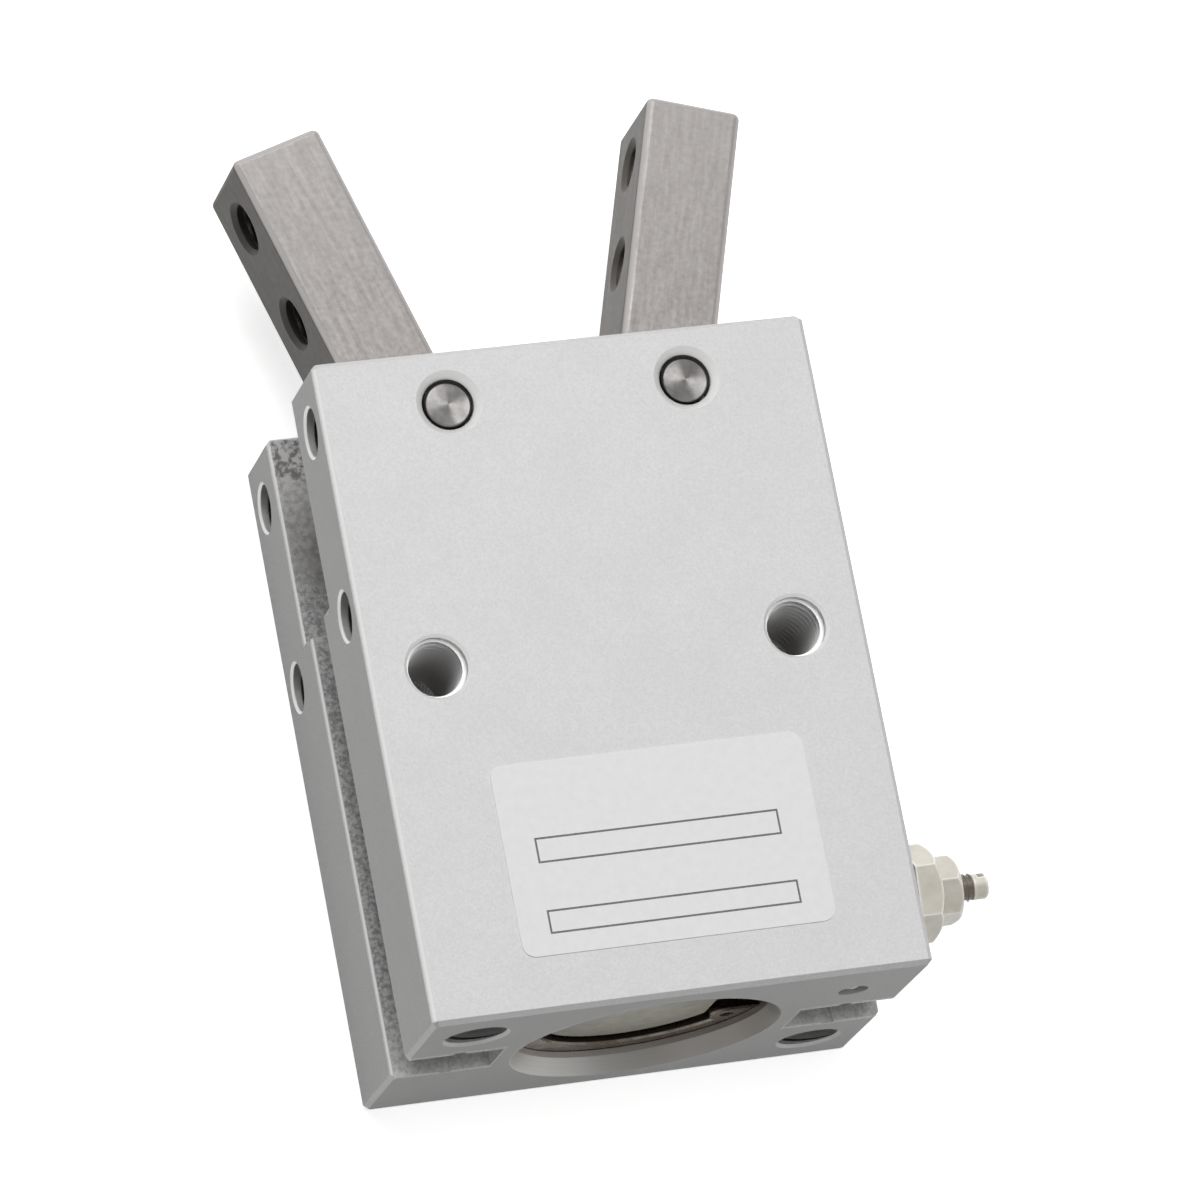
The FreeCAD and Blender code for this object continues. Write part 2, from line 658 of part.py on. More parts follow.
def make_piston():
    bore = "size.bore_diameter / 2"
    rim = f"({bore} - size.piston_gap)"
    land = "size.piston_land_diameter / 2"
    floor = f"({rim} - size.piston_seal_depth)"
    spigot = "size.spigot_diameter / 2 + size.press_gap"
    well = "size.screw_head_diameter / 2 + size.screw_well_gap"
    seal_low = f"({PISTON_REAR} + size.piston_land_length + size.piston_rim)"
    seal_high = f"({seal_low} + size.piston_seal_width)"
    magnet_low = f"({seal_high} + size.piston_rim)"
    magnet_high = f"({PISTON_FRONT} - size.piston_land_length - size.piston_rim)"
    bumper_floor = f"({PISTON_FRONT} - size.bumper_seat)"
    bumper_out = f"({land} - size.bumper_rim)"
    bumper_in = f"({bumper_out} - size.bumper_width)"
    turned("piston", [
        (well, PISTON_REAR),
        (land, PISTON_REAR),
        (land, f"{PISTON_REAR} + size.piston_land_length"),
        (rim, f"{PISTON_REAR} + size.piston_land_length"),
        (rim, seal_low),
        (floor, seal_low),
        (floor, seal_high),
        (rim, seal_high),
        (rim, magnet_low),
        (floor, magnet_low),
        (floor, magnet_high),
        (rim, magnet_high),
        (rim, f"{PISTON_FRONT} - size.piston_land_length"),
        (land, f"{PISTON_FRONT} - size.piston_land_length"),
        (land, PISTON_FRONT),
        (f"{bumper_out} + size.press_gap", PISTON_FRONT),
        (f"{bumper_out} + size.press_gap", bumper_floor),
        (f"{bumper_in} - size.press_gap", bumper_floor),
        (f"{bumper_in} - size.press_gap", PISTON_FRONT),
        (spigot, PISTON_FRONT),
        (spigot, SCREW_SEAT),
        (well, SCREW_SEAT),
    ])

    # The lip ring opens towards the tail and seals against the cylinder
    lip = f"({bore} - size.seal_gap)"
    core = f"({floor} + size.press_gap)"
    middle = f"(({lip} + {core}) / 2)"
    turned("piston_seal", [
        (core, f"{seal_low} + size.seal_gap"),
        (middle, f"{seal_low} + size.seal_notch"),
        (lip, f"{seal_low} + size.seal_gap"),
        (lip, f"{seal_high} - size.seal_gap"),
        (core, f"{seal_high} - size.seal_gap"),
    ])
    turned("magnet_ring", ring_outline(core, f"{rim} - size.seal_gap",
                                       f"{magnet_low} + size.seal_gap", f"{magnet_high} - size.seal_gap"))
    turned("front_bumper", ring_outline(bumper_in, bumper_out, bumper_floor,
                                        f"{PISTON_FRONT} + size.bumper_stand"))

    head = "size.screw_head_diameter / 2"
    socket = "size.screw_socket / 2"
    seat = f"({SCREW_SEAT})"
    head_end = f"({seat} - size.screw_head_height)"
    turned("piston_screw", [
        (socket, head_end),
        (head, head_end),
        (head, seat),
        ("size.screw_diameter / 2", seat),
        ("size.screw_diameter / 2", f"{seat} + size.screw_grip"),
        ("0", f"{seat} + size.screw_grip"),
        ("0", f"{head_end} + size.screw_socket_depth"),
        (socket, f"{head_end} + size.screw_socket_depth"),
    ])


def make_gland():
    """Bush and lip seal that the rod slides in."""
    rod = "size.rod_diameter / 2"
    turned("rod_bush", ring_outline(f"{rod} + size.running_gap", "size.bush_diameter / 2 - size.press_gap",
                                    GLAND_END, SLOT_FLOOR))
    lip = f"({rod} + size.seal_gap)"
    rim = "(size.seal_diameter / 2 - size.press_gap)"
    low = "(size.bore_depth + size.seal_gap)"
    turned("rod_seal", [
        (lip, low),
        (f"({lip} + {rim}) / 2", f"{low} + size.seal_notch"),
        (rim, low),
        (rim, f"{GLAND_END} - size.seal_gap"),
        (lip, f"{GLAND_END} - size.seal_gap"),
    ])


# Tail end: cap, its seal, the rear bumper and the retaining ring

def make_cap():
    rim = "(size.cap_diameter / 2 - size.cap_gap)"
    floor = f"({rim} - size.cap_seal_depth)"
    face = "size.cap_face_diameter / 2"
    front = f"({CAP_FACE} - size.cap_face_rise)"
    boss = "size.cap_boss_diameter / 2"
    groove_low = f"({CAP_SEAL_MIDDLE} - size.cap_seal_width / 2)"
    groove_high = f"({CAP_SEAL_MIDDLE} + size.cap_seal_width / 2)"
    bumper_out = f"({boss} - size.bumper_rim)"
    bumper_in = f"({bumper_out} - size.bumper_width)"
    bumper_floor = f"({CAP_BOSS_END} - size.bumper_seat)"
    cap = turned("end_cap", [
        ("0", front),
        (f"{face} - size.cap_face_edge", front),
        (face, f"{front} + size.cap_face_edge"),
        (face, CAP_FACE),
        (rim, CAP_FACE),
        (rim, groove_low),
        (floor, groove_low),
        (floor, groove_high),
        (rim, groove_high),
        (rim, "size.cap_seat_depth"),
        (boss, "size.cap_seat_depth"),
        (boss, CAP_BOSS_END),
        (f"{bumper_out} + size.press_gap", CAP_BOSS_END),
        (f"{bumper_out} + size.press_gap", bumper_floor),
        (f"{bumper_in} - size.press_gap", bumper_floor),
        (f"{bumper_in} - size.press_gap", CAP_BOSS_END),
        ("0", CAP_BOSS_END),
    ])

    # The raised face is cut straight to make room for the lugs of the ring
    flat = sketch_on(cap, "cap_flat_outline", "XZ_Plane", f"-{front}")
    add_rectangle(flat, f"{LUG_X} - size.lug_diameter / 2 - size.lug_gap", "size.cap_diameter",
                  "-size.cap_diameter", "size.cap_diameter")
    extrude(cap, "Pocket", "cap_flat", flat, "size.cap_face_rise")
    turned("rear_bumper", ring_outline(bumper_in, bumper_out, bumper_floor,
                                       f"{CAP_BOSS_END} + size.bumper_stand"))

    turned("cap_o_ring", seal_outline(floor, "size.cap_diameter / 2", CAP_SEAL_MIDDLE, "size.press_gap"))


def make_retaining_ring():
    """Spring ring that widens away from its opening and ends in two lugs with eyes."""
    body = new_body("retaining_ring")
    height = "(size.ring_inset + size.ring_side_gap)"
    outer = "(size.ring_groove_diameter - 2 * size.ring_rim_gap)"
    band = sketch_on(body, "ring_band_outline", "XZ_Plane", f"-{height}")
    add_circle(band, "0", "0", outer)
    add_circle(band, "size.ring_eccentric", "0", "size.ring_inner_diameter")
    extrude(body, "Pad", "ring_band", band, "size.ring_thickness", reverse=True)
    opening = sketch_on(body, "ring_opening_outline", "XZ_Plane", f"-{height}")
    add_rectangle(opening, "0", outer, "-size.ring_opening / 2", "size.ring_opening / 2")
    extrude(body, "Pocket", "ring_opening", opening, "size.ring_thickness")
    lug_z = "size.lug_radius * sin(size.lug_spread)"
    for name, z in (("upper", lug_z), ("lower", f"-({lug_z})")):
        lug = sketch_on(body, f"{name}_lug_outline", "XZ_Plane", f"-{height}")
        add_circle(lug, LUG_X, z, "size.lug_diameter")
        extrude(body, "Pad", f"{name}_lug", lug, "size.ring_thickness", reverse=True)
        eye = sketch_on(body, f"{name}_eye_outline", "XZ_Plane", f"-{height}")
        add_circle(eye, LUG_X, z, "size.lug_eye_diameter")
        extrude(body, "Pocket", f"{name}_eye", eye, "size.ring_thickness")


# Needle valve, turned about its own Y axis and then laid along X

def make_valve():
    sideways = FreeCAD.Rotation(FreeCAD.Vector(0, 0, 1), -90)
    seat = {"x": HALF_WIDTH, "y": "size.valve_height", "z": VALVE_Z, "rotation": sideways}
    shank = "(size.m5_diameter / 2 - size.press_gap)"
    bore = "(size.needle_diameter / 2 + size.running_gap)"
    hex_end = "(size.gasket_thickness + size.valve_hex_height)"
    nut_end = f"({hex_end} + size.nut_height)"

    turned("valve_gasket", ring_outline(f"{shank} + size.press_gap", "size.gasket_diameter / 2",
                                        "0", "size.gasket_thickness"), **seat)
    fitting = turned("valve_body", ring_outline(bore, shank, "-size.valve_shank_length", hex_end), **seat)
    add_hexagon(fitting, "valve_hex", "size.valve_hex", "size.gasket_thickness", "size.valve_hex_height",
                "size.valve_turn")
    drill_through(fitting, "valve_bore", bore, hex_end)

    nut = new_body("lock_nut")
    add_hexagon(nut, "nut_hex", "size.nut_hex", hex_end, "size.nut_height", "size.nut_turn")
    drill_through(nut, "nut_bore", bore, nut_end)
    place(nut, **seat)

    stem = "size.needle_diameter / 2"
    end = "size.needle_end_diameter / 2"
    seal_high = "(-size.needle_seal_width / 2)"
    seal_low = f"({seal_high} - size.needle_seal_width)"
    seal_floor = f"({stem} - size.needle_seal_depth)"
    tip = f"({seal_floor} / 2)"
    end_low = "(size.needle_stand - size.needle_end_length)"
    needle = turned("needle", [
        ("0", "-size.needle_tip_length"),
        (tip, "-size.needle_tip_length"),
        (seal_floor, "-size.valve_shank_length"),
        (stem, "-size.valve_shank_length + size.needle_seal_width"),
        (stem, seal_low),
        (seal_floor, seal_low),
        (seal_floor, seal_high),
        (stem, seal_high),
        (stem, end_low),
        (end, end_low),
        (end, "size.needle_stand"),
        ("0", "size.needle_stand"),
    ], **seat)
    slot = sketch_on(needle, "needle_slot_outline", "XZ_Plane", "-size.needle_stand", "size.needle_slot_turn")
    add_rectangle(slot, "-size.needle_slot_width / 2", "size.needle_slot_width / 2",
                  "-size.needle_diameter", "size.needle_diameter")
    extrude(needle, "Pocket", "needle_slot", slot, "size.needle_slot_depth", reverse=True)

    seal_middle = f"(({seal_high} + {seal_low}) / 2)"
    turned("needle_o_ring", seal_outline(seal_floor, bore, seal_middle, "size.running_gap / 2"), **seat)


def drill_through(body, name, radius, length):
    """Round hole along the Y axis, from below the piece to a height."""
    revolve(body, "Groove", name, [
        ("0", "-size.valve_hole_depth"),
        (radius, "-size.valve_hole_depth"),
        (radius, length),
        ("0", length),
    ])


def make_plug():
    ball = doc.addObject("Part::Sphere", "passage_plug")
    ball.Label = "passage_plug"
    ball.setExpression("Radius", "size.plug_diameter / 2 - size.press_gap")
    place(ball, "size.passage_offset_x", "size.plug_depth", PASSAGE_Z)
    pieces.append(ball)


def write_pieces():
    """Stop on any failed object, then write each piece to its own file."""
    doc.recompute()
    for item in doc.Objects:
        if "Invalid" in item.State or "Error" in item.State:
            raise RuntimeError(f"{item.Label} is {item.State}")
    for piece in pieces:
        if piece.Shape.isNull() or not piece.Shape.isValid() or not piece.Shape.Solids:
            raise RuntimeError(f"{piece.Label} has no valid solid")
    os.makedirs("parts", exist_ok=True)
    for piece in pieces:
        piece.Shape.exportStep(os.path.join("parts", f"{piece.Label}.step"))
        print(f"{piece.Label}: {piece.Shape.Volume:.1f} mm3")


make_body()
make_fingers()
make_pins()
make_rod()
make_piston()
make_gland()
make_cap()
make_retaining_ring()
make_valve()
make_plug()
write_pieces()
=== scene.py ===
"""Pneumatic angular gripper: finishes, screw threads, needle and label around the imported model.

Sizes are millimetres times MM. X is the opening direction, Y runs from the tail to the fingertips
and Z points out of the front face, as in the frame.
"""
import json
import math

import bmesh
import bpy
from mathutils import Matrix, Vector


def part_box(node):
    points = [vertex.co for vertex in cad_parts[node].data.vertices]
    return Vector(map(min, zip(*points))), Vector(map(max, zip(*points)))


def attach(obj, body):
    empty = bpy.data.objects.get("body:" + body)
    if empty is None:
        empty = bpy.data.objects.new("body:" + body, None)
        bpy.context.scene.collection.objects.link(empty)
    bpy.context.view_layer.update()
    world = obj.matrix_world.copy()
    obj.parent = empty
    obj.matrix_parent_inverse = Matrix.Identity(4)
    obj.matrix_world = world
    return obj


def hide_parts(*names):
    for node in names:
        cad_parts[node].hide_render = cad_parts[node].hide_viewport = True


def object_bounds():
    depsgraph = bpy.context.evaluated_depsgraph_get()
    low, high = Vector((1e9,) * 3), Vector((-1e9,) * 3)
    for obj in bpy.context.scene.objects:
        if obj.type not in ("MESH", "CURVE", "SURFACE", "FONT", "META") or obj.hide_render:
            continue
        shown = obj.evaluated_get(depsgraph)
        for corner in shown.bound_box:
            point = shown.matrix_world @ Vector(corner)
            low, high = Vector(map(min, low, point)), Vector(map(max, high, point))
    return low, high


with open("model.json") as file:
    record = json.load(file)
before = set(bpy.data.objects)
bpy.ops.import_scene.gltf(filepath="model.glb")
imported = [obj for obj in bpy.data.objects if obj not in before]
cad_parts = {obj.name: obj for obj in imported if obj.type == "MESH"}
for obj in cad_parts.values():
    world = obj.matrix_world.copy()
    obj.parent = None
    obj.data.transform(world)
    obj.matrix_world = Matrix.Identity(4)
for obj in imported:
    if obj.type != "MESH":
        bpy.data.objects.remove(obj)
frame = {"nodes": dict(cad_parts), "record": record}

MM = 0.001
CAD_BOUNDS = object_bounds()
NODES = frame["nodes"]
MOUNTS = {mount["name"]: mount for mount in frame["record"]["mounts"]}
BODY_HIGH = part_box("body")[1]
scene = bpy.context.scene

# Camera of the photograph, about a target on the object
CAMERA_AZIMUTH = math.radians(46.04929)
CAMERA_ELEVATION = math.radians(67.36165)
CAMERA_ROLL = math.radians(37.32580)
CAMERA_DISTANCE = 636.45516 * MM
CAMERA_TARGET = Vector((3.27038, 36.87759, 0)) * MM
CAMERA_LENS = 233.27841
CAMERA_SENSOR = 36.0

# Walls inside the body that the blasting hardly reached, and where along Y their look changes
SLOT_HALF = 5.25
SLOT_SPAN = (36.9, 60.0)
SLOT_SMOOTH = (41.0, 45.0)
SLOT_SPOTS = (50.8, 51.8)
GROOVE_HALF = 3.3
GROOVE_SPAN = (12.3, 20.4)
# Painted light: depths from the tail over which the groove walls turn from near white to their own tone
GROOVE_TAIL_LIGHT = (1.0, 6.0)

# Turned bore, and where across it painted shade begins, darkening it towards +X
BORE_RADIUS = 11.15
BORE_SPAN = (-1.0, 8.0)
BORE_SHADE_START = -6.0

# Painted highlights on the edges and countersinks of the body: the middle of the chamfers along its side
# faces, how far off it the painted highlight fades, the depths of a countersink, what lies clear of a
# face's rim, and how bright the painted highlights of the tail's countersinks are
EDGE_RADIUS = 0.25
CHAMFER_MIDDLE = 20.47
CHAMFER_FADE = (0.26, 0.08)
FAR = 100.0
SINK_SPAN = (-1.0, 0.75)
RIM_WIDTH = 0.6
OFF_RIM = (RIM_WIDTH, FAR)
TAIL_SINK_SHARE = 0.4

# Fingers: where their edges begin to round in height, where painted light makes the tips lighter along Y,
# and how far the pattern of their streaks is squeezed along the bar
FINGER_TILT = math.radians(17)
FINGER_WIDTH = 8.0
FINGER_ROUNDING = (4.1, 4.3)
FINGER_TIP_LIGHT = (58.0, 82.0)
STREAK_SQUEEZE = 0.12

# Screw threads, with the section of a ridge in shares of the pitch
NEEDLE_PITCH = 0.45
M4_PITCH = 0.7
M5_PITCH = 0.8
THREAD_ROOT = 0.86
THREAD_CREST = 0.22
THREAD_HEIGHT = 0.54
THREAD_SINK = 0.03
THREAD_FADE_TURNS = 0.7
THREAD_FADE_END = 0.04
THREAD_SEGMENTS = 28
LEAD_SEGMENTS = 40
JAW_MOUTH_DEPTH = 0.4
M5_MOUTH_DEPTH = 0.25
TAIL_THREAD = 7.2
FACE_THREAD = 11.0

# Through holes of the broad faces: half the width of their row, and the depths over which painted shade
# greys them
HOLE_ROW_HALF = 3.0
HOLE_SHADE = (2.0, 8.0)

# Pivot pins: radius of the clean face inside the black rim of painted shade, its blur, and how far the face
# lies off the axis, which makes the painted shade wider on one side
PIN_FACE = 1.76
PIN_RIM_BLUR = 0.08
PIN_FACE_SHIFT = Vector((-0.06, -0.1, 0)) * MM

# Retaining ring: depths behind the tail between which the painted highlight on its wall gives way to dark
RING_HIGHLIGHT = (2.12, 2.22)

# Needle, along X from the side of the body
NEEDLE_CORE = 1.0
NEEDLE_CREST = 1.3
NEEDLE_NECK = 0.7
NEEDLE_TAPER = (-3.6, -2.6)
NEEDLE_SEAL = (-1.5, -0.5)
NEEDLE_END_RADIUS = 1.05
NEEDLE_END_LENGTH = 1.2
NEEDLE_END_CHAMFER = 0.15
NEEDLE_SHOULDER = 0.1
NEEDLE_SLOT_WIDTH = 0.6
NEEDLE_SLOT_DEPTH = 0.8
NEEDLE_SLOT_TURN = math.radians(-50)
NEEDLE_THREAD_START = 3.8

# Label on the front face, with the left, right, low and high sides of its frames
LABEL_LEFT, LABEL_RIGHT = -12.5, 13.5
LABEL_LOW, LABEL_HIGH = 4.5, 20.3
LABEL_CORNER = 1.1
LABEL_THICKNESS = 0.07
LABEL_SINK = 0.01
LABEL_FRAMES = [(-9.9, 10.35, 12.0, 14.1), (-10.0, 10.85, 6.2, 8.15)]
FRAME_LINE = 0.16
FRAME_THICKNESS = 0.012
FRAME_SINK = 0.005

# Meshes of the pieces made here, with the distance in metres
WELD_DISTANCE = 1e-7
SHARP_ANGLE = math.radians(35)

# Patterns and bumps of the materials
PATTERN_ROUGHNESS = 0.6
BUMP_STRENGTH = 0.4
BEVEL_SAMPLES = 6
PLATE_EDGE_RADIUS = 0.3

# Evenly finished materials: grain in millimetres, dark and light colour, metallic, roughness and bump
# in millimetres. Finer grains are drawn as coarse as they need to show.
PLAIN_FINISHES = {
    # Soft, dull black
    "moulded_nitrile_rubber": (0.3, "#17181A", "#232427", 0.0, 0.6, 0.02),
    # Brown metal with open pores
    "sintered_bronze": (0.25, "#8A6438", "#A67C4A", 0.8, 0.5, 0.03),
    # Near black with a low sheen
    "black_oxide_steel": (0.4, "#1C1C1E", "#2C2C2F", 0.6, 0.45, 0.01),
    # Dark, chalky grey
    "bonded_ferrite": (0.35, "#2A2A2C", "#3A3A3D", 0.0, 0.7, 0.03),
    # Pale and smooth
    "polished_ball_steel": (0.6, "#D0CECC", "#DEDCDA", 0.2, 0.4, 0.005),
    # Dark cut steel: painted shade in the threads of the jaw holes
    "cut_steel_painted_shade": (0.3, "#454240", "#5F5B58", 0.4, 0.4, 0.01),
    # Brown painted shade between the turns of the needle's thread
    "thread_root_painted_shade": (0.3, "#5E564C", "#7C7468", 0.4, 0.4, 0.01),
    # Smooth, near white, with a satin sheen
    "satin_label_film": (0.8, "#E4E3E3", "#E9E8E8", 0.0, 0.45, 0.004),
    # Thin grey print
    "printed_label_ink": (0.2, "#5A5B5D", "#77787A", 0.0, 0.5, 0.002),
}


# Nodes and colours

def add(tree, kind, inputs=None, **settings):
    """Add a node, set its properties and fill its inputs with constants or links. A node that is given
    as a source stands for the first of its outputs in use."""
    node = tree.nodes.new(kind)
    for name, setting in settings.items():
        setattr(node, name, setting)
    for key, source in (inputs or {}).items():
        if isinstance(source, bpy.types.Node):
            source = next(output for output in source.outputs if output.enabled)
        if isinstance(source, bpy.types.NodeSocket):
            tree.links.new(source, node.inputs[key])
        else:
            node.inputs[key].default_value = source
    return node


def linear(code):
    """Linear RGBA of an sRGB hex colour."""
    shares = [int(code[start:start + 2], 16) / 255 for start in (1, 3, 5)]
    return [s / 12.92 if s <= 0.04045 else ((s + 0.055) / 1.055) ** 2.4 for s in shares] + [1.0]


def rings_per(pitch):
    """Scale of a Wave texture whose rings repeat every pitch millimetres."""
    return 2 * math.pi / 20 / (pitch * MM)


def grit(place, size, detail=3.0):
    """Inputs for a noise from 0 to 1 whose features are about this many millimetres wide."""
    return {"Vector": place, "Scale": 1 / (size * MM), "Detail": detail, "Roughness": PATTERN_ROUGHNESS}


def drawn_out(source, low, high, start=0.0, end=1.0):
    """Inputs for a range in which low becomes start, high becomes end, and the rest is cut off."""
    return {"Value": source, "From Min": low, "From Max": high, "To Min": start, "To Max": end}


def tone(tree, pattern, low, high, first, second, most=1.0):
    """Colour that goes from a first towards a second one, by a share at most, as a pattern goes from
    low to high. Each is an sRGB code or the result of nodes."""
    share = add(tree, "ShaderNodeMapRange", drawn_out(pattern, low, high, 0.0, most))
    ends = [linear(color) if isinstance(color, str) else color for color in (first, second)]
    return add(tree, "ShaderNodeMix", {0: share, 6: ends[0], 7: ends[1]}, data_type="RGBA")


def overlap(tree, *shares):
    """Share of the surface that several shares have in common: their product."""
    common = shares[0]
    for share in shares[1:]:
        common = add(tree, "ShaderNodeMath", {0: common, 1: share}, operation="MULTIPLY")
    return common


def union(tree, *shares):
    """Share of the surface that several shares cover together: the largest of them."""
    whole = shares[0]
    for share in shares[1:]:
        whole = add(tree, "ShaderNodeMath", {0: whole, 1: share}, operation="MAXIMUM")
    return whole


def within(tree, *limits):
    """Share that is 1 where each value lies between its low and high limit in millimetres, else 0."""
    shares = []
    for value, low, high in limits:
        span = {0: value, 1: (low + high) / 2 * MM, 2: (high - low) / 2 * MM}
        shares.append(add(tree, "ShaderNodeMath", span, operation="COMPARE"))
    return overlap(tree, *shares)


def sizes_of(tree, vector):
    """X, Y and Z of a vector without their signs."""
    unsigned = add(tree, "ShaderNodeVectorMath", {0: vector}, operation="ABSOLUTE")
    return add(tree, "ShaderNodeSeparateXYZ", {"Vector": unsigned}).outputs


def facing(tree):
    """How squarely the surface faces along X, Y and Z, either way."""
    return sizes_of(tree, add(tree, "ShaderNodeNewGeometry").outputs["Normal"])


def radius_about(tree, place, axis, centre):
    """Distance of a place from an axis, named by its letter, through a centre."""
    across = [0.0 if letter == axis else 1.0 for letter in "XYZ"]
    offset = add(tree, "ShaderNodeVectorMath", {0: place, 1: centre}, operation="SUBTRACT")
    flat = add(tree, "ShaderNodeVectorMath", {0: offset, 1: across}, operation="MULTIPLY")
    return add(tree, "ShaderNodeVectorMath", {0: flat}, operation="LENGTH")


def new_material(name):
    """Empty material, its tree and its Object coordinates."""
    material = bpy.data.materials.new(name)
    material.use_nodes = True
    tree = material.node_tree
    tree.nodes.clear()
    coordinates = add(tree, "ShaderNodeTexCoord")
    return material, tree, coordinates.outputs["Object"]


def finish_material(tree, color, metallic, roughness, bump_depth, height, **constants):
    """Principled surface with bumps of a depth in millimetres, and the material's output."""
    bump = add(tree, "ShaderNodeBump", {
        "Strength": BUMP_STRENGTH, "Distance": bump_depth * MM, "Height": height,
    })
    inputs = {"Base Color": color, "Metallic": metallic, "Roughness": roughness, "Normal": bump}
    surface = add(tree, "ShaderNodeBsdfPrincipled", inputs | constants)
    add(tree, "ShaderNodeOutputMaterial", {"Surface": surface})


# Materials

def wall_color(tree, place, y):
    """Colour of the walls inside the body: painted near white at the tail as painted light through the open
    groove ends, then grainy, smooth in the finger slot and spotted at the head."""
    blotch = add(tree, "ShaderNodeTexNoise", grit(place, 0.35, 5.0))
    spot = add(tree, "ShaderNodeTexNoise", grit(place, 0.55, 2.0))
    # Painted light: near the tail the walls are painted near white, for light through the open groove ends
    tail_light = tone(tree, blotch, 0.42, 0.58, "#E4E4E3", "#FFFFFF")
    grainy = tone(tree, blotch, 0.38, 0.6, "#ABABAC", "#EAEAE9")
    smooth = tone(tree, spot, 0.35, 0.6, "#AAA9A8", "#CBCAC8")
    spotted = tone(tree, spot, 0.4, 0.56, "#787576", "#C2C1C0")
    color = tail_light
    for (low, high), after in ((GROOVE_TAIL_LIGHT, grainy), (SLOT_SMOOTH, smooth), (SLOT_SPOTS, spotted)):
        color = tone(tree, y, low * MM, high * MM, color, after)
    return color


def painted_edge_highlights(tree, x, across, in_groove):
    """Share of the body's edges that carry a painted highlight: the long ones of its left side only, as
    those of the right side lie in shade, the lips of the switch grooves and, faintly, its upright corners."""
    # Painted highlight: only the left side's long edges are brightened, those of the right lie in shade
    rounded = add(tree, "ShaderNodeBevel", {"Radius": EDGE_RADIUS * MM}, samples=BEVEL_SAMPLES)
    round_x, round_y, round_z = sizes_of(tree, rounded)
    offset = add(tree, "ShaderNodeMath", {0: across, 1: CHAMFER_MIDDLE * MM}, operation="SUBTRACT")
    off_middle = add(tree, "ShaderNodeMath", {0: offset}, operation="ABSOLUTE")
    fade = [distance * MM for distance in CHAMFER_FADE]
    lean = overlap(tree, round_x, round_z)
    long_edge = overlap(
        tree,
        add(tree, "ShaderNodeMapRange", drawn_out(lean, 0.34, 0.5)),
        add(tree, "ShaderNodeMapRange", drawn_out(off_middle, *fade)),
        within(tree, (x, -FAR, 0.0)),
    )
    lip = add(tree, "ShaderNodeMapRange", drawn_out(overlap(tree, round_y, round_z), 0.12, 0.35))
    upright = overlap(tree, round_x, round_y)
    corner = add(tree, "ShaderNodeMapRange", drawn_out(upright, 0.34, 0.5, 0.0, 0.35))
    return union(tree, long_edge, overlap(tree, lip, in_groove), corner)


def sunk_in(tree, steep, *limits):
    """Share of the countersinks in a face: sloping surface within limits, told by how squarely it
    faces along the holes."""
    return overlap(
        tree,
        add(tree, "ShaderNodeMapRange", drawn_out(steep, 0.5, 0.65)),
        add(tree, "ShaderNodeMapRange", drawn_out(steep, 0.9, 0.78)),
        within(tree, *limits),
    )


def countersinks(tree, place, y, deep, from_axis):
    """Share of the countersinks in the body's faces that carry a painted highlight, fainter in the tail."""
    mirrored = add(tree, "ShaderNodeVectorMath", {0: place}, operation="ABSOLUTE")
    margins = add(tree, "ShaderNodeVectorMath", {0: BODY_HIGH, 1: mirrored}, operation="SUBTRACT")
    to_side, to_head, to_face = add(tree, "ShaderNodeSeparateXYZ", {"Vector": margins}).outputs
    face_x, face_y, face_z = facing(tree)
    ends = (y, *OFF_RIM), (to_head, *OFF_RIM)
    off_slot = (deep, SLOT_HALF + RIM_WIDTH, FAR)
    off_groove = (deep, GROOVE_HALF + RIM_WIDTH, FAR)
    off_bore = (from_axis, BORE_RADIUS + RIM_WIDTH, FAR)
    in_faces = sunk_in(tree, face_z, (to_face, *SINK_SPAN), (to_side, *OFF_RIM), *ends)
    in_sides = sunk_in(tree, face_x, (to_side, *SINK_SPAN), (to_face, *OFF_RIM), *ends, off_slot)
    in_tail = sunk_in(tree, face_y, (y, *SINK_SPAN), (to_side, *OFF_RIM), (to_face, *OFF_RIM),
                      off_groove, off_bore)
    # Painted highlight on the countersinks, weaker in the tail
    return union(tree, in_faces, in_sides, overlap(tree, in_tail, TAIL_SINK_SHARE))


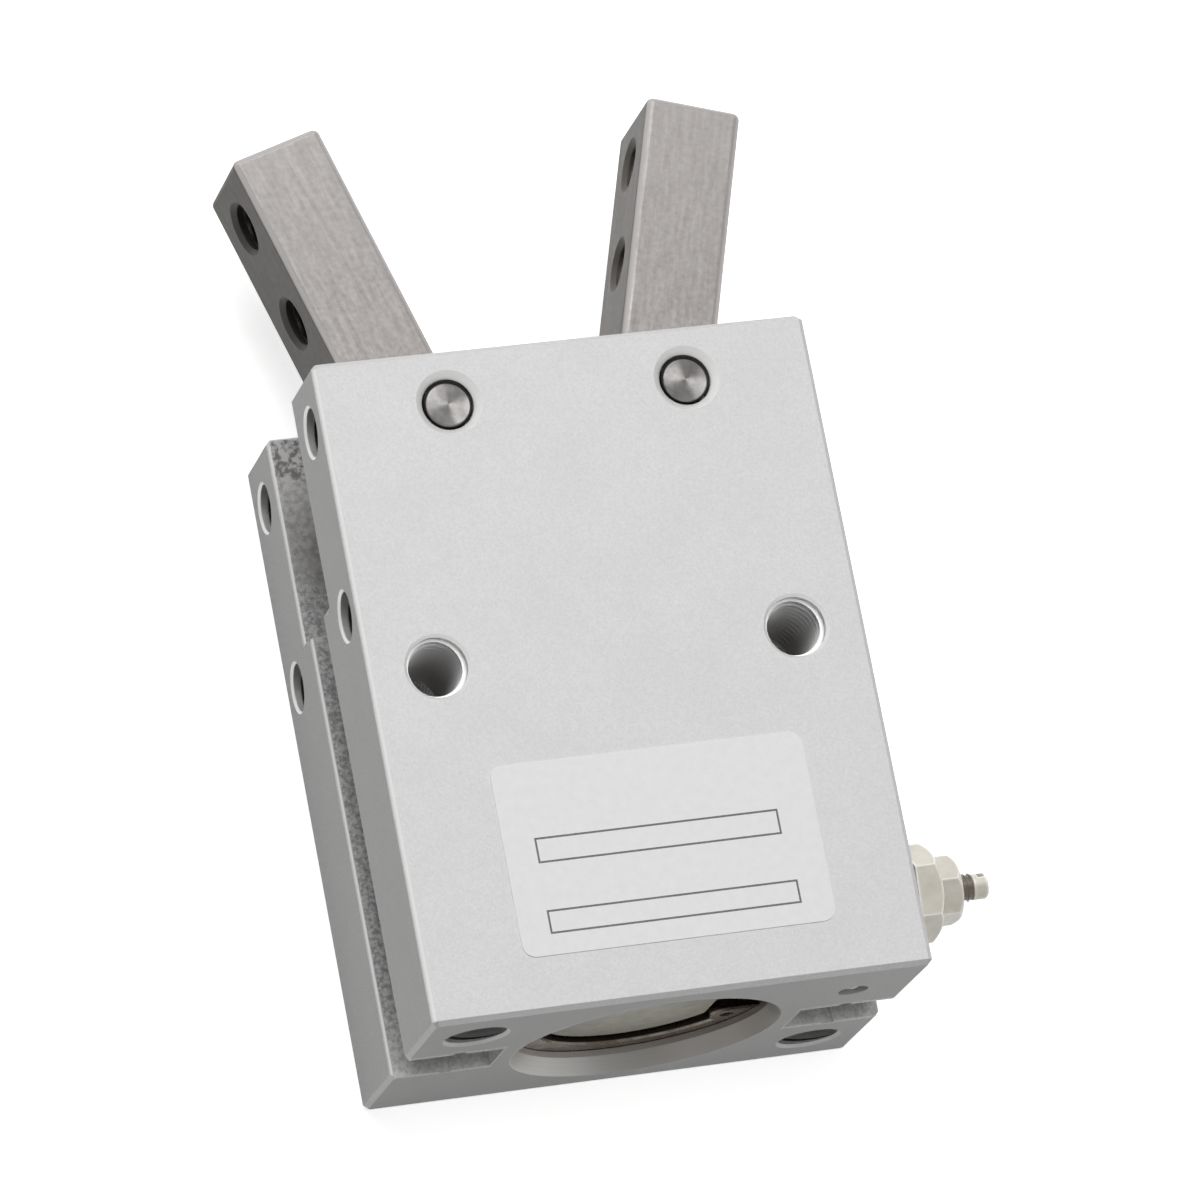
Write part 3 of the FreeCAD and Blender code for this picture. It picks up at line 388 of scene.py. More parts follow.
def blasted_anodised_aluminium():
    """Milled block, bead blasted and clear anodised: a pale satin grey with a faint sandy speckle,
    drawn coarser than the real one so that it shows. The walls of the finger slot and the switch
    grooves, which the blast hardly reaches, are darker, except near the tail where painted light makes
    them near white; the turned bore is unblasted and darkens towards +X with painted shade; and painted
    highlights make the left side's long edges, the groove lips, the upright corners and the countersinks
    bright."""
    material, tree, place = new_material("blasted_anodised_aluminium")
    grain = add(tree, "ShaderNodeTexNoise", grit(place, 0.2))
    cloud = add(tree, "ShaderNodeTexNoise", grit(place, 6.0))
    parts = add(tree, "ShaderNodeSeparateXYZ", {"Vector": place}).outputs
    x, y = parts["X"], parts["Y"]
    sizes = sizes_of(tree, place)
    across, deep = sizes["X"], sizes["Z"]
    from_axis = radius_about(tree, place, "Y", (0, 0, 0))
    in_slot = within(tree, (deep, 0.0, SLOT_HALF), (y, *SLOT_SPAN))
    in_groove = within(tree, (deep, 0.0, GROOVE_HALF), (across, *GROOVE_SPAN))
    in_bore = within(tree, (from_axis, 0.0, BORE_RADIUS), (y, *BORE_SPAN))
    # Painted highlights on the edges and countersinks
    edges = painted_edge_highlights(tree, x, across, in_groove)
    painted_light = union(tree, edges, countersinks(tree, place, y, deep, from_axis))

    sand = tone(tree, grain, 0.3, 0.7, "#D3D3D3", "#E0DFE0")
    clouded = tone(tree, cloud, 0.4, 0.65, sand, "#C4C5C4", most=0.12)
    inside = union(tree, in_slot, in_groove)
    walled = tone(tree, inside, 0.0, 1.0, clouded, wall_color(tree, place, y))
    # Painted highlights: edges and countersinks near white
    highlighted = tone(tree, painted_light, 0.0, 1.0, walled, "#F0F0EE")
    lathe_marks = add(tree, "ShaderNodeTexNoise", grit(add(tree, "ShaderNodeCombineXYZ", {"Y": y}), 0.12))
    faced = tone(tree, lathe_marks, 0.35, 0.65, "#E2E0DE", "#EEECEA")
    # Painted shade: the bore darkens towards +X
    turned = tone(tree, x, BORE_SHADE_START * MM, BORE_RADIUS * MM, faced, "#9A9691")
    color = tone(tree, in_bore, 0.0, 1.0, highlighted, turned)

    polished = add(tree, "ShaderNodeMapRange", drawn_out(painted_light, 0.0, 1.0, 0.1, 0.55))
    metallic = union(tree, polished, overlap(tree, in_bore, 0.3))
    sanded = add(tree, "ShaderNodeMapRange", drawn_out(grain, 0.3, 0.7, 0.55, 0.45))
    roughness = add(tree, "ShaderNodeMix", {0: in_bore, 2: sanded, 3: 0.35})
    off_bore = add(tree, "ShaderNodeMath", {0: 1.0, 1: in_bore}, operation="SUBTRACT")
    height = overlap(tree, grain, off_bore)
    finish_material(tree, color, metallic, roughness, 0.02, height, **{"Specular IOR Level": 0.25})
    return material


def ground_stainless_steel(name, tilt, side):
    """Square bar of stainless steel, ground and tumbled on its broad faces: a warm matt grey with soft
    mottling, faint streaks along the bar and a few dark pits. The milled sides and the mouths of the
    holes take a darker colour given per finger as painted shade, the tips are lightened with painted
    light, and the rounded edges carry a painted highlight."""
    material, tree, place = new_material(name)
    turned = add(tree, "ShaderNodeMapping", {"Vector": place, "Rotation": (0, 0, tilt)})
    stretched = add(tree, "ShaderNodeMapping", {"Vector": turned, "Scale": (1.0, STREAK_SQUEEZE, 1.0)})
    streak = add(tree, "ShaderNodeTexNoise", grit(stretched, 0.45))
    mottle = add(tree, "ShaderNodeTexNoise", grit(place, 0.5, 6.0))
    pit = add(tree, "ShaderNodeTexNoise", grit(place, 0.5, 1.0))
    mixed = add(tree, "ShaderNodeMix", {0: 0.5, 2: mottle, 3: streak})
    sizes = sizes_of(tree, place)
    edge_low, edge_high = FINGER_ROUNDING
    off_holes = add(tree, "ShaderNodeMapRange", drawn_out(sizes["Z"], edge_low * MM, edge_high * MM))
    upward = overlap(tree, facing(tree)["Z"], off_holes)

    ground = tone(tree, mixed, 0.35, 0.65, "#8D8987", "#A9A5A3")
    tip_low, tip_high = FINGER_TIP_LIGHT
    # Painted light: the tips lighter towards their ends
    steel = tone(tree, sizes["Y"], tip_low * MM, tip_high * MM, ground, "#B5B1AF", most=0.5)
    # Painted shade: sides and hole mouths take the darker colour given per finger
    side_shaded = tone(tree, upward, 0.25, 0.6, side, steel)
    # Painted highlight on the rounded edges
    edge_highlight = overlap(
        tree,
        add(tree, "ShaderNodeMapRange", drawn_out(upward, 0.2, 0.5)),
        add(tree, "ShaderNodeMapRange", drawn_out(upward, 0.98, 0.8)),
    )
    highlighted = tone(tree, edge_highlight, 0.0, 1.0, side_shaded, "#C2BEBC")
    color = tone(tree, pit, 0.75, 0.82, highlighted, "#5F5B59", most=0.5)
    roughness = add(tree, "ShaderNodeMapRange", drawn_out(mixed, 0.35, 0.65, 0.52, 0.4))
    finish_material(tree, color, 0.35, roughness, 0.006, mixed, **{"Specular IOR Level": 0.12})
    return material


def turned_metal(name, axis, centre, pitch, dark, light, metallic, roughness, rim=None):
    """Metal faced and turned on a lathe: fine rings about its axis that throw fan-shaped highlights
    on a flat end and lines round a cylinder, with slight stains and, where a radius is given, a
    black rim of painted shade beyond it, for the gap round a pin."""
    material, tree, place = new_material(name)
    centred = add(tree, "ShaderNodeVectorMath", {0: place, 1: centre}, operation="SUBTRACT")
    ring = add(tree, "ShaderNodeTexWave", {
        "Vector": centred, "Scale": rings_per(pitch), "Distortion": 1.2, "Detail": 2.0,
    }, wave_type="RINGS", rings_direction=axis).outputs["Fac"]
    stain = add(tree, "ShaderNodeTexNoise", grit(place, 1.1, 4.0))
    mixed = add(tree, "ShaderNodeMix", {0: 0.94, 2: ring, 3: stain})
    color = tone(tree, mixed, 0.3, 0.7, dark, light)
    if rim:
        # Painted shade: a black rim off the pin's clean face, wider on one side
        off_face = radius_about(tree, place, axis, centre + PIN_FACE_SHIFT)
        color = tone(tree, off_face, rim * MM, (rim + PIN_RIM_BLUR) * MM, color, "#1E1C1B")
    stained = drawn_out(stain, 0.3, 0.7, roughness + 0.06, roughness - 0.06)
    uneven = add(tree, "ShaderNodeMapRange", stained)
    around = add(tree, "ShaderNodeTangent", direction_type="RADIAL", axis=axis)
    finish_material(tree, color, metallic, uneven, 0.001, ring, Anisotropic=0.9, Tangent=around,
                    **{"Anisotropic Rotation": 0.25})
    return material


def oiled_spring_steel():
    """Stamped spring ring, oiled: brown-black flat faces, and dark walls along its thickness with a painted
    highlight along their edge on the tail side, brighter in places."""
    material, tree, place = new_material("oiled_spring_steel")
    film = add(tree, "ShaderNodeTexNoise", grit(place, 1.2, 4.0))
    glint = add(tree, "ShaderNodeTexNoise", grit(place, 1.6, 1.0))
    y = add(tree, "ShaderNodeSeparateXYZ", {"Vector": place}).outputs["Y"]
    highlight_low, highlight_high = RING_HIGHLIGHT
    # Painted highlight on the ring's walls near the tail, dark beyond
    painted_glint = tone(tree, glint, 0.4, 0.65, "#B8ACA0", "#F2ECE4")
    wall = tone(tree, y, highlight_low * MM, highlight_high * MM, painted_glint, "#2E2722")
    flat = tone(tree, film, 0.3, 0.7, "#64564B", "#9A8C7F")
    color = tone(tree, facing(tree)["Y"], 0.3, 0.7, wall, flat)
    roughness = add(tree, "ShaderNodeMapRange", drawn_out(film, 0.3, 0.7, 0.35, 0.2))
    finish_material(tree, color, 0.8, roughness, 0.01, film)
    return material


def cut_aluminium_painted_light_and_shade():
    """Unanodised aluminium of the tapped holes, with painted light and shade: in the through holes of the
    broad faces the flanks are painted bright and the crests dull, greyer further in, and the blind holes
    are painted dark."""
    material, tree, place = new_material("cut_aluminium_painted_light_and_shade")
    grain = add(tree, "ShaderNodeTexNoise", grit(place, 0.3))
    sizes = sizes_of(tree, place)
    depth = add(tree, "ShaderNodeMath", {0: BODY_HIGH.z, 1: sizes["Z"]}, operation="SUBTRACT")
    row = MOUNTS["front_pattern"]["pos_m"][1] / MM
    in_row = within(tree, (sizes["Y"], row - HOLE_ROW_HALF, row + HOLE_ROW_HALF))
    grey_low, grey_high = HOLE_SHADE
    # Painted light and shade: flanks bright, crests dull, greyer with depth and dark in blind holes
    painted_light = tone(tree, facing(tree)["Z"], 0.3, 0.6, "#6E6B69", "#FFFFFF")
    through = tone(tree, depth, grey_low * MM, grey_high * MM, painted_light, "#CFCDCA")
    blind = tone(tree, grain, 0.3, 0.7, "#3A3734", "#5A5754")
    color = tone(tree, in_row, 0.0, 1.0, blind, through)
    finish_material(tree, color, 0.1, 0.4, 0.01, grain)
    return material


def nickel_plated_brass():
    """Satin nickel plate on turned and milled brass: warm grey, faintly smudged, with painted highlights
    along the edges.
    """
    material, tree, place = new_material("nickel_plated_brass")
    smudge = add(tree, "ShaderNodeTexNoise", grit(place, 1.2))
    rounded = add(tree, "ShaderNodeBevel", {"Radius": PLATE_EDGE_RADIUS * MM}, samples=BEVEL_SAMPLES)
    flat = add(tree, "ShaderNodeNewGeometry").outputs["Normal"]
    agreement = add(tree, "ShaderNodeVectorMath", {0: rounded, 1: flat}, operation="DOT_PRODUCT")
    plate = tone(tree, smudge, 0.3, 0.7, "#CCC8BC", "#DAD6CB")
    # Painted highlight along the edges
    color = tone(tree, agreement, 0.99, 0.93, plate, "#FFFDF8")
    finish_material(tree, color, 0.3, 0.3, 0.004, smudge)
    return material


def plain_finish(name):
    """Evenly finished surface with a fine grain: moulded rubber, sintered bronze, ferrite, black
    oxide, steel or film, told apart by colour, gloss and the size and depth of the grain."""
    grain_size, dark, light, metallic, roughness, bump_depth = PLAIN_FINISHES[name]
    material, tree, place = new_material(name)
    grain = add(tree, "ShaderNodeTexNoise", grit(place, grain_size, 4.0))
    color = tone(tree, grain, 0.3, 0.7, dark, light)
    grained = drawn_out(grain, 0.3, 0.7, roughness + 0.05, roughness - 0.05)
    uneven = add(tree, "ShaderNodeMapRange", grained)
    finish_material(tree, color, metallic, uneven, bump_depth, grain)
    return material


# Screw threads

def hole_tree(name, sizes):
    """Tree that takes points with the axis of their hole, the named sizes and a material."""
    tree = bpy.data.node_groups.new(name, "GeometryNodeTree")
    tree.interface.new_socket("Geometry", in_out="OUTPUT", socket_type="NodeSocketGeometry")
    tree.interface.new_socket("Geometry", in_out="INPUT", socket_type="NodeSocketGeometry")
    for size in sizes:
        tree.interface.new_socket(size, in_out="INPUT", socket_type="NodeSocketFloat")
    tree.interface.new_socket("Material", in_out="INPUT", socket_type="NodeSocketMaterial")
    return tree, add(tree, "NodeGroupInput").outputs


def stamp(tree, given, mesh):
    """Put a mesh on each point, turned to the axis of its hole, and paint it."""
    axis = add(tree, "GeometryNodeInputNamedAttribute", {"Name": "axis"}, data_type="FLOAT_VECTOR")
    aligned = add(tree, "FunctionNodeAlignRotationToVector", {"Vector": axis}, axis="Z")
    copies = add(tree, "GeometryNodeInstanceOnPoints", {
        "Points": given["Geometry"], "Instance": mesh, "Rotation": aligned,
    })
    whole = add(tree, "GeometryNodeRealizeInstances", {"Geometry": copies})
    painted = add(tree, "GeometryNodeSetMaterial", {"Geometry": whole, "Material": given["Material"]})
    add(tree, "NodeGroupOutput", {"Geometry": painted})


def lead_tree():
    """Countersunk ring in the mouth of a tapped hole, from the wall down to the crests of the thread."""
    tree, given = hole_tree("lead_in", ("Wall Radius", "Depth"))
    circle = add(tree, "GeometryNodeCurvePrimitiveCircle", {
        "Resolution": LEAD_SEGMENTS, "Radius": given["Wall Radius"],
    })
    upright = add(tree, "GeometryNodeSetCurveNormal", {"Curve": circle}, mode="Z_UP")
    deep = add(tree, "ShaderNodeMath", {0: given["Depth"], 1: -1.0}, operation="MULTIPLY")
    corner = add(tree, "ShaderNodeCombineXYZ", {"X": given["Depth"]})
    inner = add(tree, "ShaderNodeCombineXYZ", {"Y": deep})
    both = add(tree, "ShaderNodeVectorMath", {0: corner, 1: inner}, operation="ADD")
    halfway = add(tree, "ShaderNodeVectorMath", {0: both, "Scale": 0.5}, operation="SCALE")
    section = add(tree, "GeometryNodeCurvePrimitiveQuadrilateral", {
        "Point 1": (0, 0, 0), "Point 2": inner, "Point 3": halfway, "Point 4": corner,
    }, mode="POINTS")
    ring = add(tree, "GeometryNodeCurveToMesh", {"Curve": upright, "Profile Curve": section})
    stamp(tree, given, ring)
    return tree


def thread_tree():
    """Helical ridge with a trapezoid section. A positive ridge stands inwards from the wall, a
    negative one outwards from a core."""
    tree, given = hole_tree("screw_thread", ("Wall Radius", "Pitch", "Ridge", "Length"))
    turns = add(tree, "ShaderNodeMath", {0: given["Length"], 1: given["Pitch"]}, operation="DIVIDE")
    helix = add(tree, "GeometryNodeCurveSpiral", {
        "Resolution": THREAD_SEGMENTS, "Rotations": turns, "Start Radius": given["Wall Radius"],
        "End Radius": given["Wall Radius"], "Height": given["Length"], "Reverse": True,
    })
    upright = add(tree, "GeometryNodeSetCurveNormal", {"Curve": helix}, mode="Z_UP")

    root = add(tree, "ShaderNodeMath", {0: given["Pitch"], 1: THREAD_ROOT}, operation="MULTIPLY")
    crest = add(tree, "ShaderNodeMath", {0: given["Pitch"], 1: THREAD_CREST}, operation="MULTIPLY")
    half = add(tree, "ShaderNodeMath", {0: given["Ridge"], 1: 0.5}, operation="MULTIPLY")
    section = add(tree, "GeometryNodeCurvePrimitiveQuadrilateral", {
        "Bottom Width": root, "Top Width": crest, "Offset": 0.0, "Height": given["Ridge"],
    }, mode="TRAPEZOID")
    shift = add(tree, "ShaderNodeCombineXYZ", {"Y": half})
    seated = add(tree, "GeometryNodeTransform", {"Geometry": section, "Translation": shift})

    share = add(tree, "GeometryNodeSplineParameter").outputs["Factor"]
    rest = add(tree, "ShaderNodeMath", {0: 1.0, 1: share}, operation="SUBTRACT")
    nearest = add(tree, "ShaderNodeMath", {0: share, 1: rest}, operation="MINIMUM")
    passed = add(tree, "ShaderNodeMath", {0: nearest, 1: turns}, operation="MULTIPLY")
    faded = add(tree, "ShaderNodeMapRange", drawn_out(passed, 0.0, THREAD_FADE_TURNS, THREAD_FADE_END, 1.0))
    ridge = add(tree, "GeometryNodeCurveToMesh", {
        "Curve": upright, "Profile Curve": seated, "Scale": faded, "Fill Caps": True,
    })
    stamp(tree, given, ridge)
    return tree


def fill_holes(tree, roots, material, **sizes):
    """Mesh that a tree makes in the holes at roots, pairs of an inner end and the axis to the mouth."""
    points = bpy.data.meshes.new("hole_roots")
    points.from_pydata([start for start, axis in roots], [], [])
    axes = points.attributes.new("axis", "FLOAT_VECTOR", "POINT")
    axes.data.foreach_set("vector", [part for start, axis in roots for part in axis])
    holder = bpy.data.objects.new("hole_roots", points)
    scene.collection.objects.link(holder)
    modifier = holder.modifiers.new("fill", "NODES")
    modifier.node_group = tree
    wanted = {name.replace("_", " ").title(): size * MM for name, size in sizes.items()}
    wanted["Material"] = material
    for item in tree.interface.items_tree:
        if item.in_out == "INPUT" and item.name in wanted:
            modifier[item.identifier] = wanted[item.name]
    depsgraph = bpy.context.evaluated_depsgraph_get()
    mesh = bpy.data.meshes.new_from_object(holder.evaluated_get(depsgraph))
    bpy.data.objects.remove(holder)
    return mesh


def add_piece(name, meshes, body):
    """Object at the origin made of closed meshes, with outward faces, that rides on a body."""
    whole = bmesh.new()
    materials = []
    for mesh in meshes:
        first = len(whole.faces)
        whole.from_mesh(mesh)
        whole.faces.ensure_lookup_table()
        shift = len(materials)
        for face in whole.faces[first:]:
            face.material_index += shift
        materials.extend(mesh.materials)
    bmesh.ops.remove_doubles(whole, verts=whole.verts, dist=WELD_DISTANCE)
    bmesh.ops.recalc_face_normals(whole, faces=whole.faces)
    joined = bpy.data.meshes.new(name)
    whole.to_mesh(joined)
    whole.free()
    for material in materials:
        joined.materials.append(material)
    joined.shade_smooth()
    joined.set_sharp_from_angle(angle=SHARP_ANGLE)
    piece = bpy.data.objects.new(name, joined)
    scene.collection.objects.link(piece)
    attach(piece, body)
    return piece


def pair_roots(pattern, direction, spacing, depth):
    """Roots of a pattern's two holes, a spacing apart along a direction about its place."""
    mount = MOUNTS[pattern]
    axis = Vector(mount["axis"])
    step = direction.normalized() * spacing / 2 * MM
    return [(Vector(mount["pos_m"]) + side * step - axis * depth * MM, axis) for side in (-1, 1)]


def hole_roots(word, length):
    """Roots of the single threaded holes whose names hold a word."""
    found = [mount for name, mount in MOUNTS.items() if word in name and mount["kind"] == "threaded_hole"]
    return [(Vector(m["pos_m"]) - Vector(m["axis"]) * length / 2 * MM, Vector(m["axis"])) for m in found]


def thread_sizes(diameter, pitch):
    """Sizes of the thread in a tapped hole."""
    return {
        "wall_radius": diameter / 2 + THREAD_SINK, "pitch": pitch,
        "ridge": THREAD_HEIGHT * pitch + THREAD_SINK,
    }


def make_threads(tree, coat):
    """Threads and lead-in cones in the tapped holes of the housing and of both fingers."""
    leads = lead_tree()
    m5 = thread_sizes(5.0, M5_PITCH)
    m4 = thread_sizes(4.0, M4_PITCH)
    across = Vector((1, 0, 0))
    diagonal = Vector((-2, 0, 1))
    face_spacing = MOUNTS["front_pattern"]["dims"]["spacing_x_mm"]
    tail_spacing = MOUNTS["tail_pattern"]["dims"]["pcd_mm"]
    side_length = MOUNTS["left_side_front_low_hole"]["dims"]["length_mm"]
    port_length = MOUNTS["rear_port"]["dims"]["length_mm"]
    lead_depth = M5_MOUTH_DEPTH + m5["ridge"]
    face_roots = []
    m5_leads = pair_roots("tail_pattern", diagonal, tail_spacing, lead_depth)
    for pattern in ("front_pattern", "back_pattern"):
        face_roots += pair_roots(pattern, across, face_spacing, M5_MOUTH_DEPTH + FACE_THREAD)
        m5_leads += pair_roots(pattern, across, face_spacing, lead_depth)
    tail_roots = pair_roots("tail_pattern", diagonal, tail_spacing, M5_MOUTH_DEPTH + TAIL_THREAD)
    port_roots = hole_roots("port", port_length)
    side_roots = hole_roots("side", side_length)
    m4_leads = [(start + axis * (side_length - m4["ridge"]) * MM, axis) for start, axis in side_roots]
    metal = cut_aluminium_painted_light_and_shade()
    add_piece("tapped_threads", [
        fill_holes(tree, face_roots, metal, length=FACE_THREAD, **m5),
        fill_holes(tree, tail_roots, metal, length=TAIL_THREAD, **m5),
        fill_holes(tree, port_roots, metal, length=port_length, **m5),
        fill_holes(tree, side_roots, metal, length=side_length, **m4),
        fill_holes(leads, m5_leads, coat, wall_radius=m5["wall_radius"], depth=m5["ridge"]),
        fill_holes(leads, m4_leads, coat, wall_radius=m4["wall_radius"], depth=m4["ridge"]),
    ], "housing")

    # Painted shade: the jaw holes' threads are dark
    steel = plain_finish("cut_steel_painted_shade")
    jaw_length = FINGER_WIDTH - 2 * JAW_MOUTH_DEPTH
    for side, sign in (("left", -1), ("right", 1)):
        along = Vector((sign * math.sin(FINGER_TILT), math.cos(FINGER_TILT), 0))
        spacing = MOUNTS[f"{side}_jaw_pattern"]["dims"]["pcd_mm"]
        roots = pair_roots(f"{side}_jaw_pattern", along, spacing, JAW_MOUTH_DEPTH + jaw_length)
        threads = fill_holes(tree, roots, steel, length=jaw_length, **m4)
        add_piece(f"{side}_jaw_threads", [threads], f"{side}_lever")


# Needle

def lathe(outline, segments=40):
    """Closed mesh turned about X from (along, radius) corners that begin and end on the axis."""
    mesh = bmesh.new()
    rings = []
    for along, radius in outline:
        middle = Vector((along * MM, 0, 0))
        if radius == 0:
            rings.append([mesh.verts.new(middle)])
            continue
        angles = [2 * math.pi * step / segments for step in range(segments)]
        rings.append([
            mesh.verts.new(middle + Vector((0, math.cos(a), math.sin(a))) * radius * MM) for a in angles
        ])
    for low, high in zip(rings, rings[1:]):
        for step in range(segments):
            after = (step + 1) % segments
            corners = [
                low[step % len(low)], high[step % len(high)],
                high[after % len(high)], low[after % len(low)],
            ]
            mesh.faces.new(list(dict.fromkeys(corners)))
    turned = bpy.data.meshes.new("turned")
    mesh.to_mesh(turned)
    mesh.free()
    return turned


def cut_slot(mesh, low, high):
    """Mesh with a box between two corners taken out of it."""
    corners = [(x, y, z) for x in (low.x, high.x) for y in (low.y, high.y) for z in (low.z, high.z)]
    sides = [(0, 1, 3, 2), (4, 6, 7, 5), (0, 4, 5, 1), (2, 3, 7, 6), (0, 2, 6, 4), (1, 5, 7, 3)]
    tool_mesh = bpy.data.meshes.new("slot_cutter")
    tool_mesh.from_pydata(corners, [], sides)
    tool = bpy.data.objects.new("slot_cutter", tool_mesh)
    blank = bpy.data.objects.new("slot_blank", mesh)
    for thing in (tool, blank):
        scene.collection.objects.link(thing)
    modifier = blank.modifiers.new("slot", "BOOLEAN")
    modifier.operation = "DIFFERENCE"
    modifier.solver = "EXACT"
    modifier.object = tool
    depsgraph = bpy.context.evaluated_depsgraph_get()
    slotted = bpy.data.meshes.new_from_object(blank.evaluated_get(depsgraph))
    for thing in (tool, blank):
        bpy.data.objects.remove(thing)
    return slotted


def make_needle(tree, plating, root_shade):
    """Needle with its screw thread, painted dark between the turns as painted shade, and slotted end, in
    place of the plain one.
    """
    low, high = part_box("needle")
    seat = Vector((BODY_HIGH.x, (low.y + high.y) / 2, (low.z + high.z) / 2))
    tip = (low.x - seat.x) / MM
    stand = (high.x - seat.x) / MM
    shoulder = stand - NEEDLE_END_LENGTH
    taper_low, taper_high = NEEDLE_TAPER
    seal_low, seal_high = NEEDLE_SEAL
    stem = lathe([
        (tip, 0), (tip, NEEDLE_NECK / 2), (taper_low, NEEDLE_NECK), (taper_high, NEEDLE_CREST),
        (seal_low, NEEDLE_CREST), (seal_low, NEEDLE_NECK),
        (seal_high, NEEDLE_NECK), (seal_high, NEEDLE_CREST),
        (NEEDLE_THREAD_START, NEEDLE_CREST), (NEEDLE_THREAD_START, NEEDLE_CORE),
        (shoulder, NEEDLE_CORE), (shoulder, 0),
    ])
    neck = shoulder - NEEDLE_SHOULDER
    end = lathe([
        (neck, 0), (neck, NEEDLE_END_RADIUS - NEEDLE_SHOULDER), (shoulder, NEEDLE_END_RADIUS),
        (stand - NEEDLE_END_CHAMFER, NEEDLE_END_RADIUS), (stand, NEEDLE_END_RADIUS - NEEDLE_END_CHAMFER),
        (stand, 0),
    ])
    half_slot = NEEDLE_SLOT_WIDTH / 2
    slot_low = Vector((stand - NEEDLE_SLOT_DEPTH, -half_slot, -NEEDLE_CREST)) * MM
    slot_high = Vector((stand + NEEDLE_SLOT_DEPTH, half_slot, NEEDLE_CREST)) * MM
    end = cut_slot(end, slot_low, slot_high)
    place = Matrix.Translation(seat)
    stem.transform(place)
    end.transform(place @ Matrix.Rotation(NEEDLE_SLOT_TURN, 4, "X"))
    # The stem is painted dark: painted shade between the thread's turns
    for mesh, material in ((stem, root_shade), (end, plating)):
        mesh.materials.clear()
        mesh.materials.append(material)
    root = seat + Vector((NEEDLE_THREAD_START * MM, 0, 0))
    ridge = -(NEEDLE_CREST - NEEDLE_CORE + THREAD_SINK)
    thread = fill_holes(tree, [(root, Vector((1, 0, 0)))], plating, wall_radius=NEEDLE_CORE - THREAD_SINK,
                        pitch=NEEDLE_PITCH, ridge=ridge, length=shoulder - NEEDLE_THREAD_START)
    needle = add_piece("threaded_needle", [stem, end, thread], "needle_group")
    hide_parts("needle")


# Label

def rounded_corners(left, right, low, high, radius, steps=6):
    """Points of a rectangle with round corners, in millimetres."""
    centres = [(right - radius, high - radius, 0), (left + radius, high - radius, 1),
               (left + radius, low + radius, 2), (right - radius, low + radius, 3)]
    points = []
    for x, y, quarter in centres:
        for step in range(steps + 1):
            angle = (quarter + step / steps) * math.pi / 2
            points.append((x + radius * math.cos(angle), y + radius * math.sin(angle)))
    return points


def raise_outline(outer, inner, low, high, material):
    """Closed plate between two heights with an outer outline and, where given, an inner one."""
    plate = bmesh.new()
    loops = []
    for outline in [outer] + ([inner] if inner else []):
        for height in (low, high):
            loops.append([plate.verts.new((x * MM, y * MM, height)) for x, y in outline])
    for bottom, top in zip(loops[::2], loops[1::2]):
        for index in range(len(bottom)):
            after = (index + 1) % len(bottom)
            plate.faces.new((bottom[index], bottom[after], top[after], top[index]))
    for level in (0, 1):
        if not inner:
            plate.faces.new(loops[level])
            continue
        edge, hole = loops[level], loops[level + 2]
        for index in range(len(edge)):
            after = (index + 1) % len(edge)
            plate.faces.new((edge[index], edge[after], hole[after], hole[index]))
    mesh = bpy.data.meshes.new("plate")
    plate.to_mesh(mesh)
    plate.free()
    mesh.materials.append(material)
    return mesh


def make_label(film, ink):
    """Bare self-adhesive label with two blank printed frames on the front face."""
    face = BODY_HIGH.z
    top = face + LABEL_THICKNESS * MM
    outline = rounded_corners(LABEL_LEFT, LABEL_RIGHT, LABEL_LOW, LABEL_HIGH, LABEL_CORNER)
    sheet = raise_outline(outline, None, face - LABEL_SINK * MM, top, film)
    add_piece("front_label", [sheet], "housing")
    frames = []
    for left, right, low, high in LABEL_FRAMES:
        outer = [(left, low), (right, low), (right, high), (left, high)]
        inner = [
            (left + FRAME_LINE, low + FRAME_LINE), (right - FRAME_LINE, low + FRAME_LINE),
            (right - FRAME_LINE, high - FRAME_LINE), (left + FRAME_LINE, high - FRAME_LINE),
        ]
        frames.append(raise_outline(outer, inner, top - FRAME_SINK * MM, top + FRAME_THICKNESS * MM, ink))
    add_piece("label_frames", frames, "housing")


# Finishes of the frame's own pieces

def centre_of(node):
    """Middle of a piece's box."""
    low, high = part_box(node)
    return (low + high) / 2


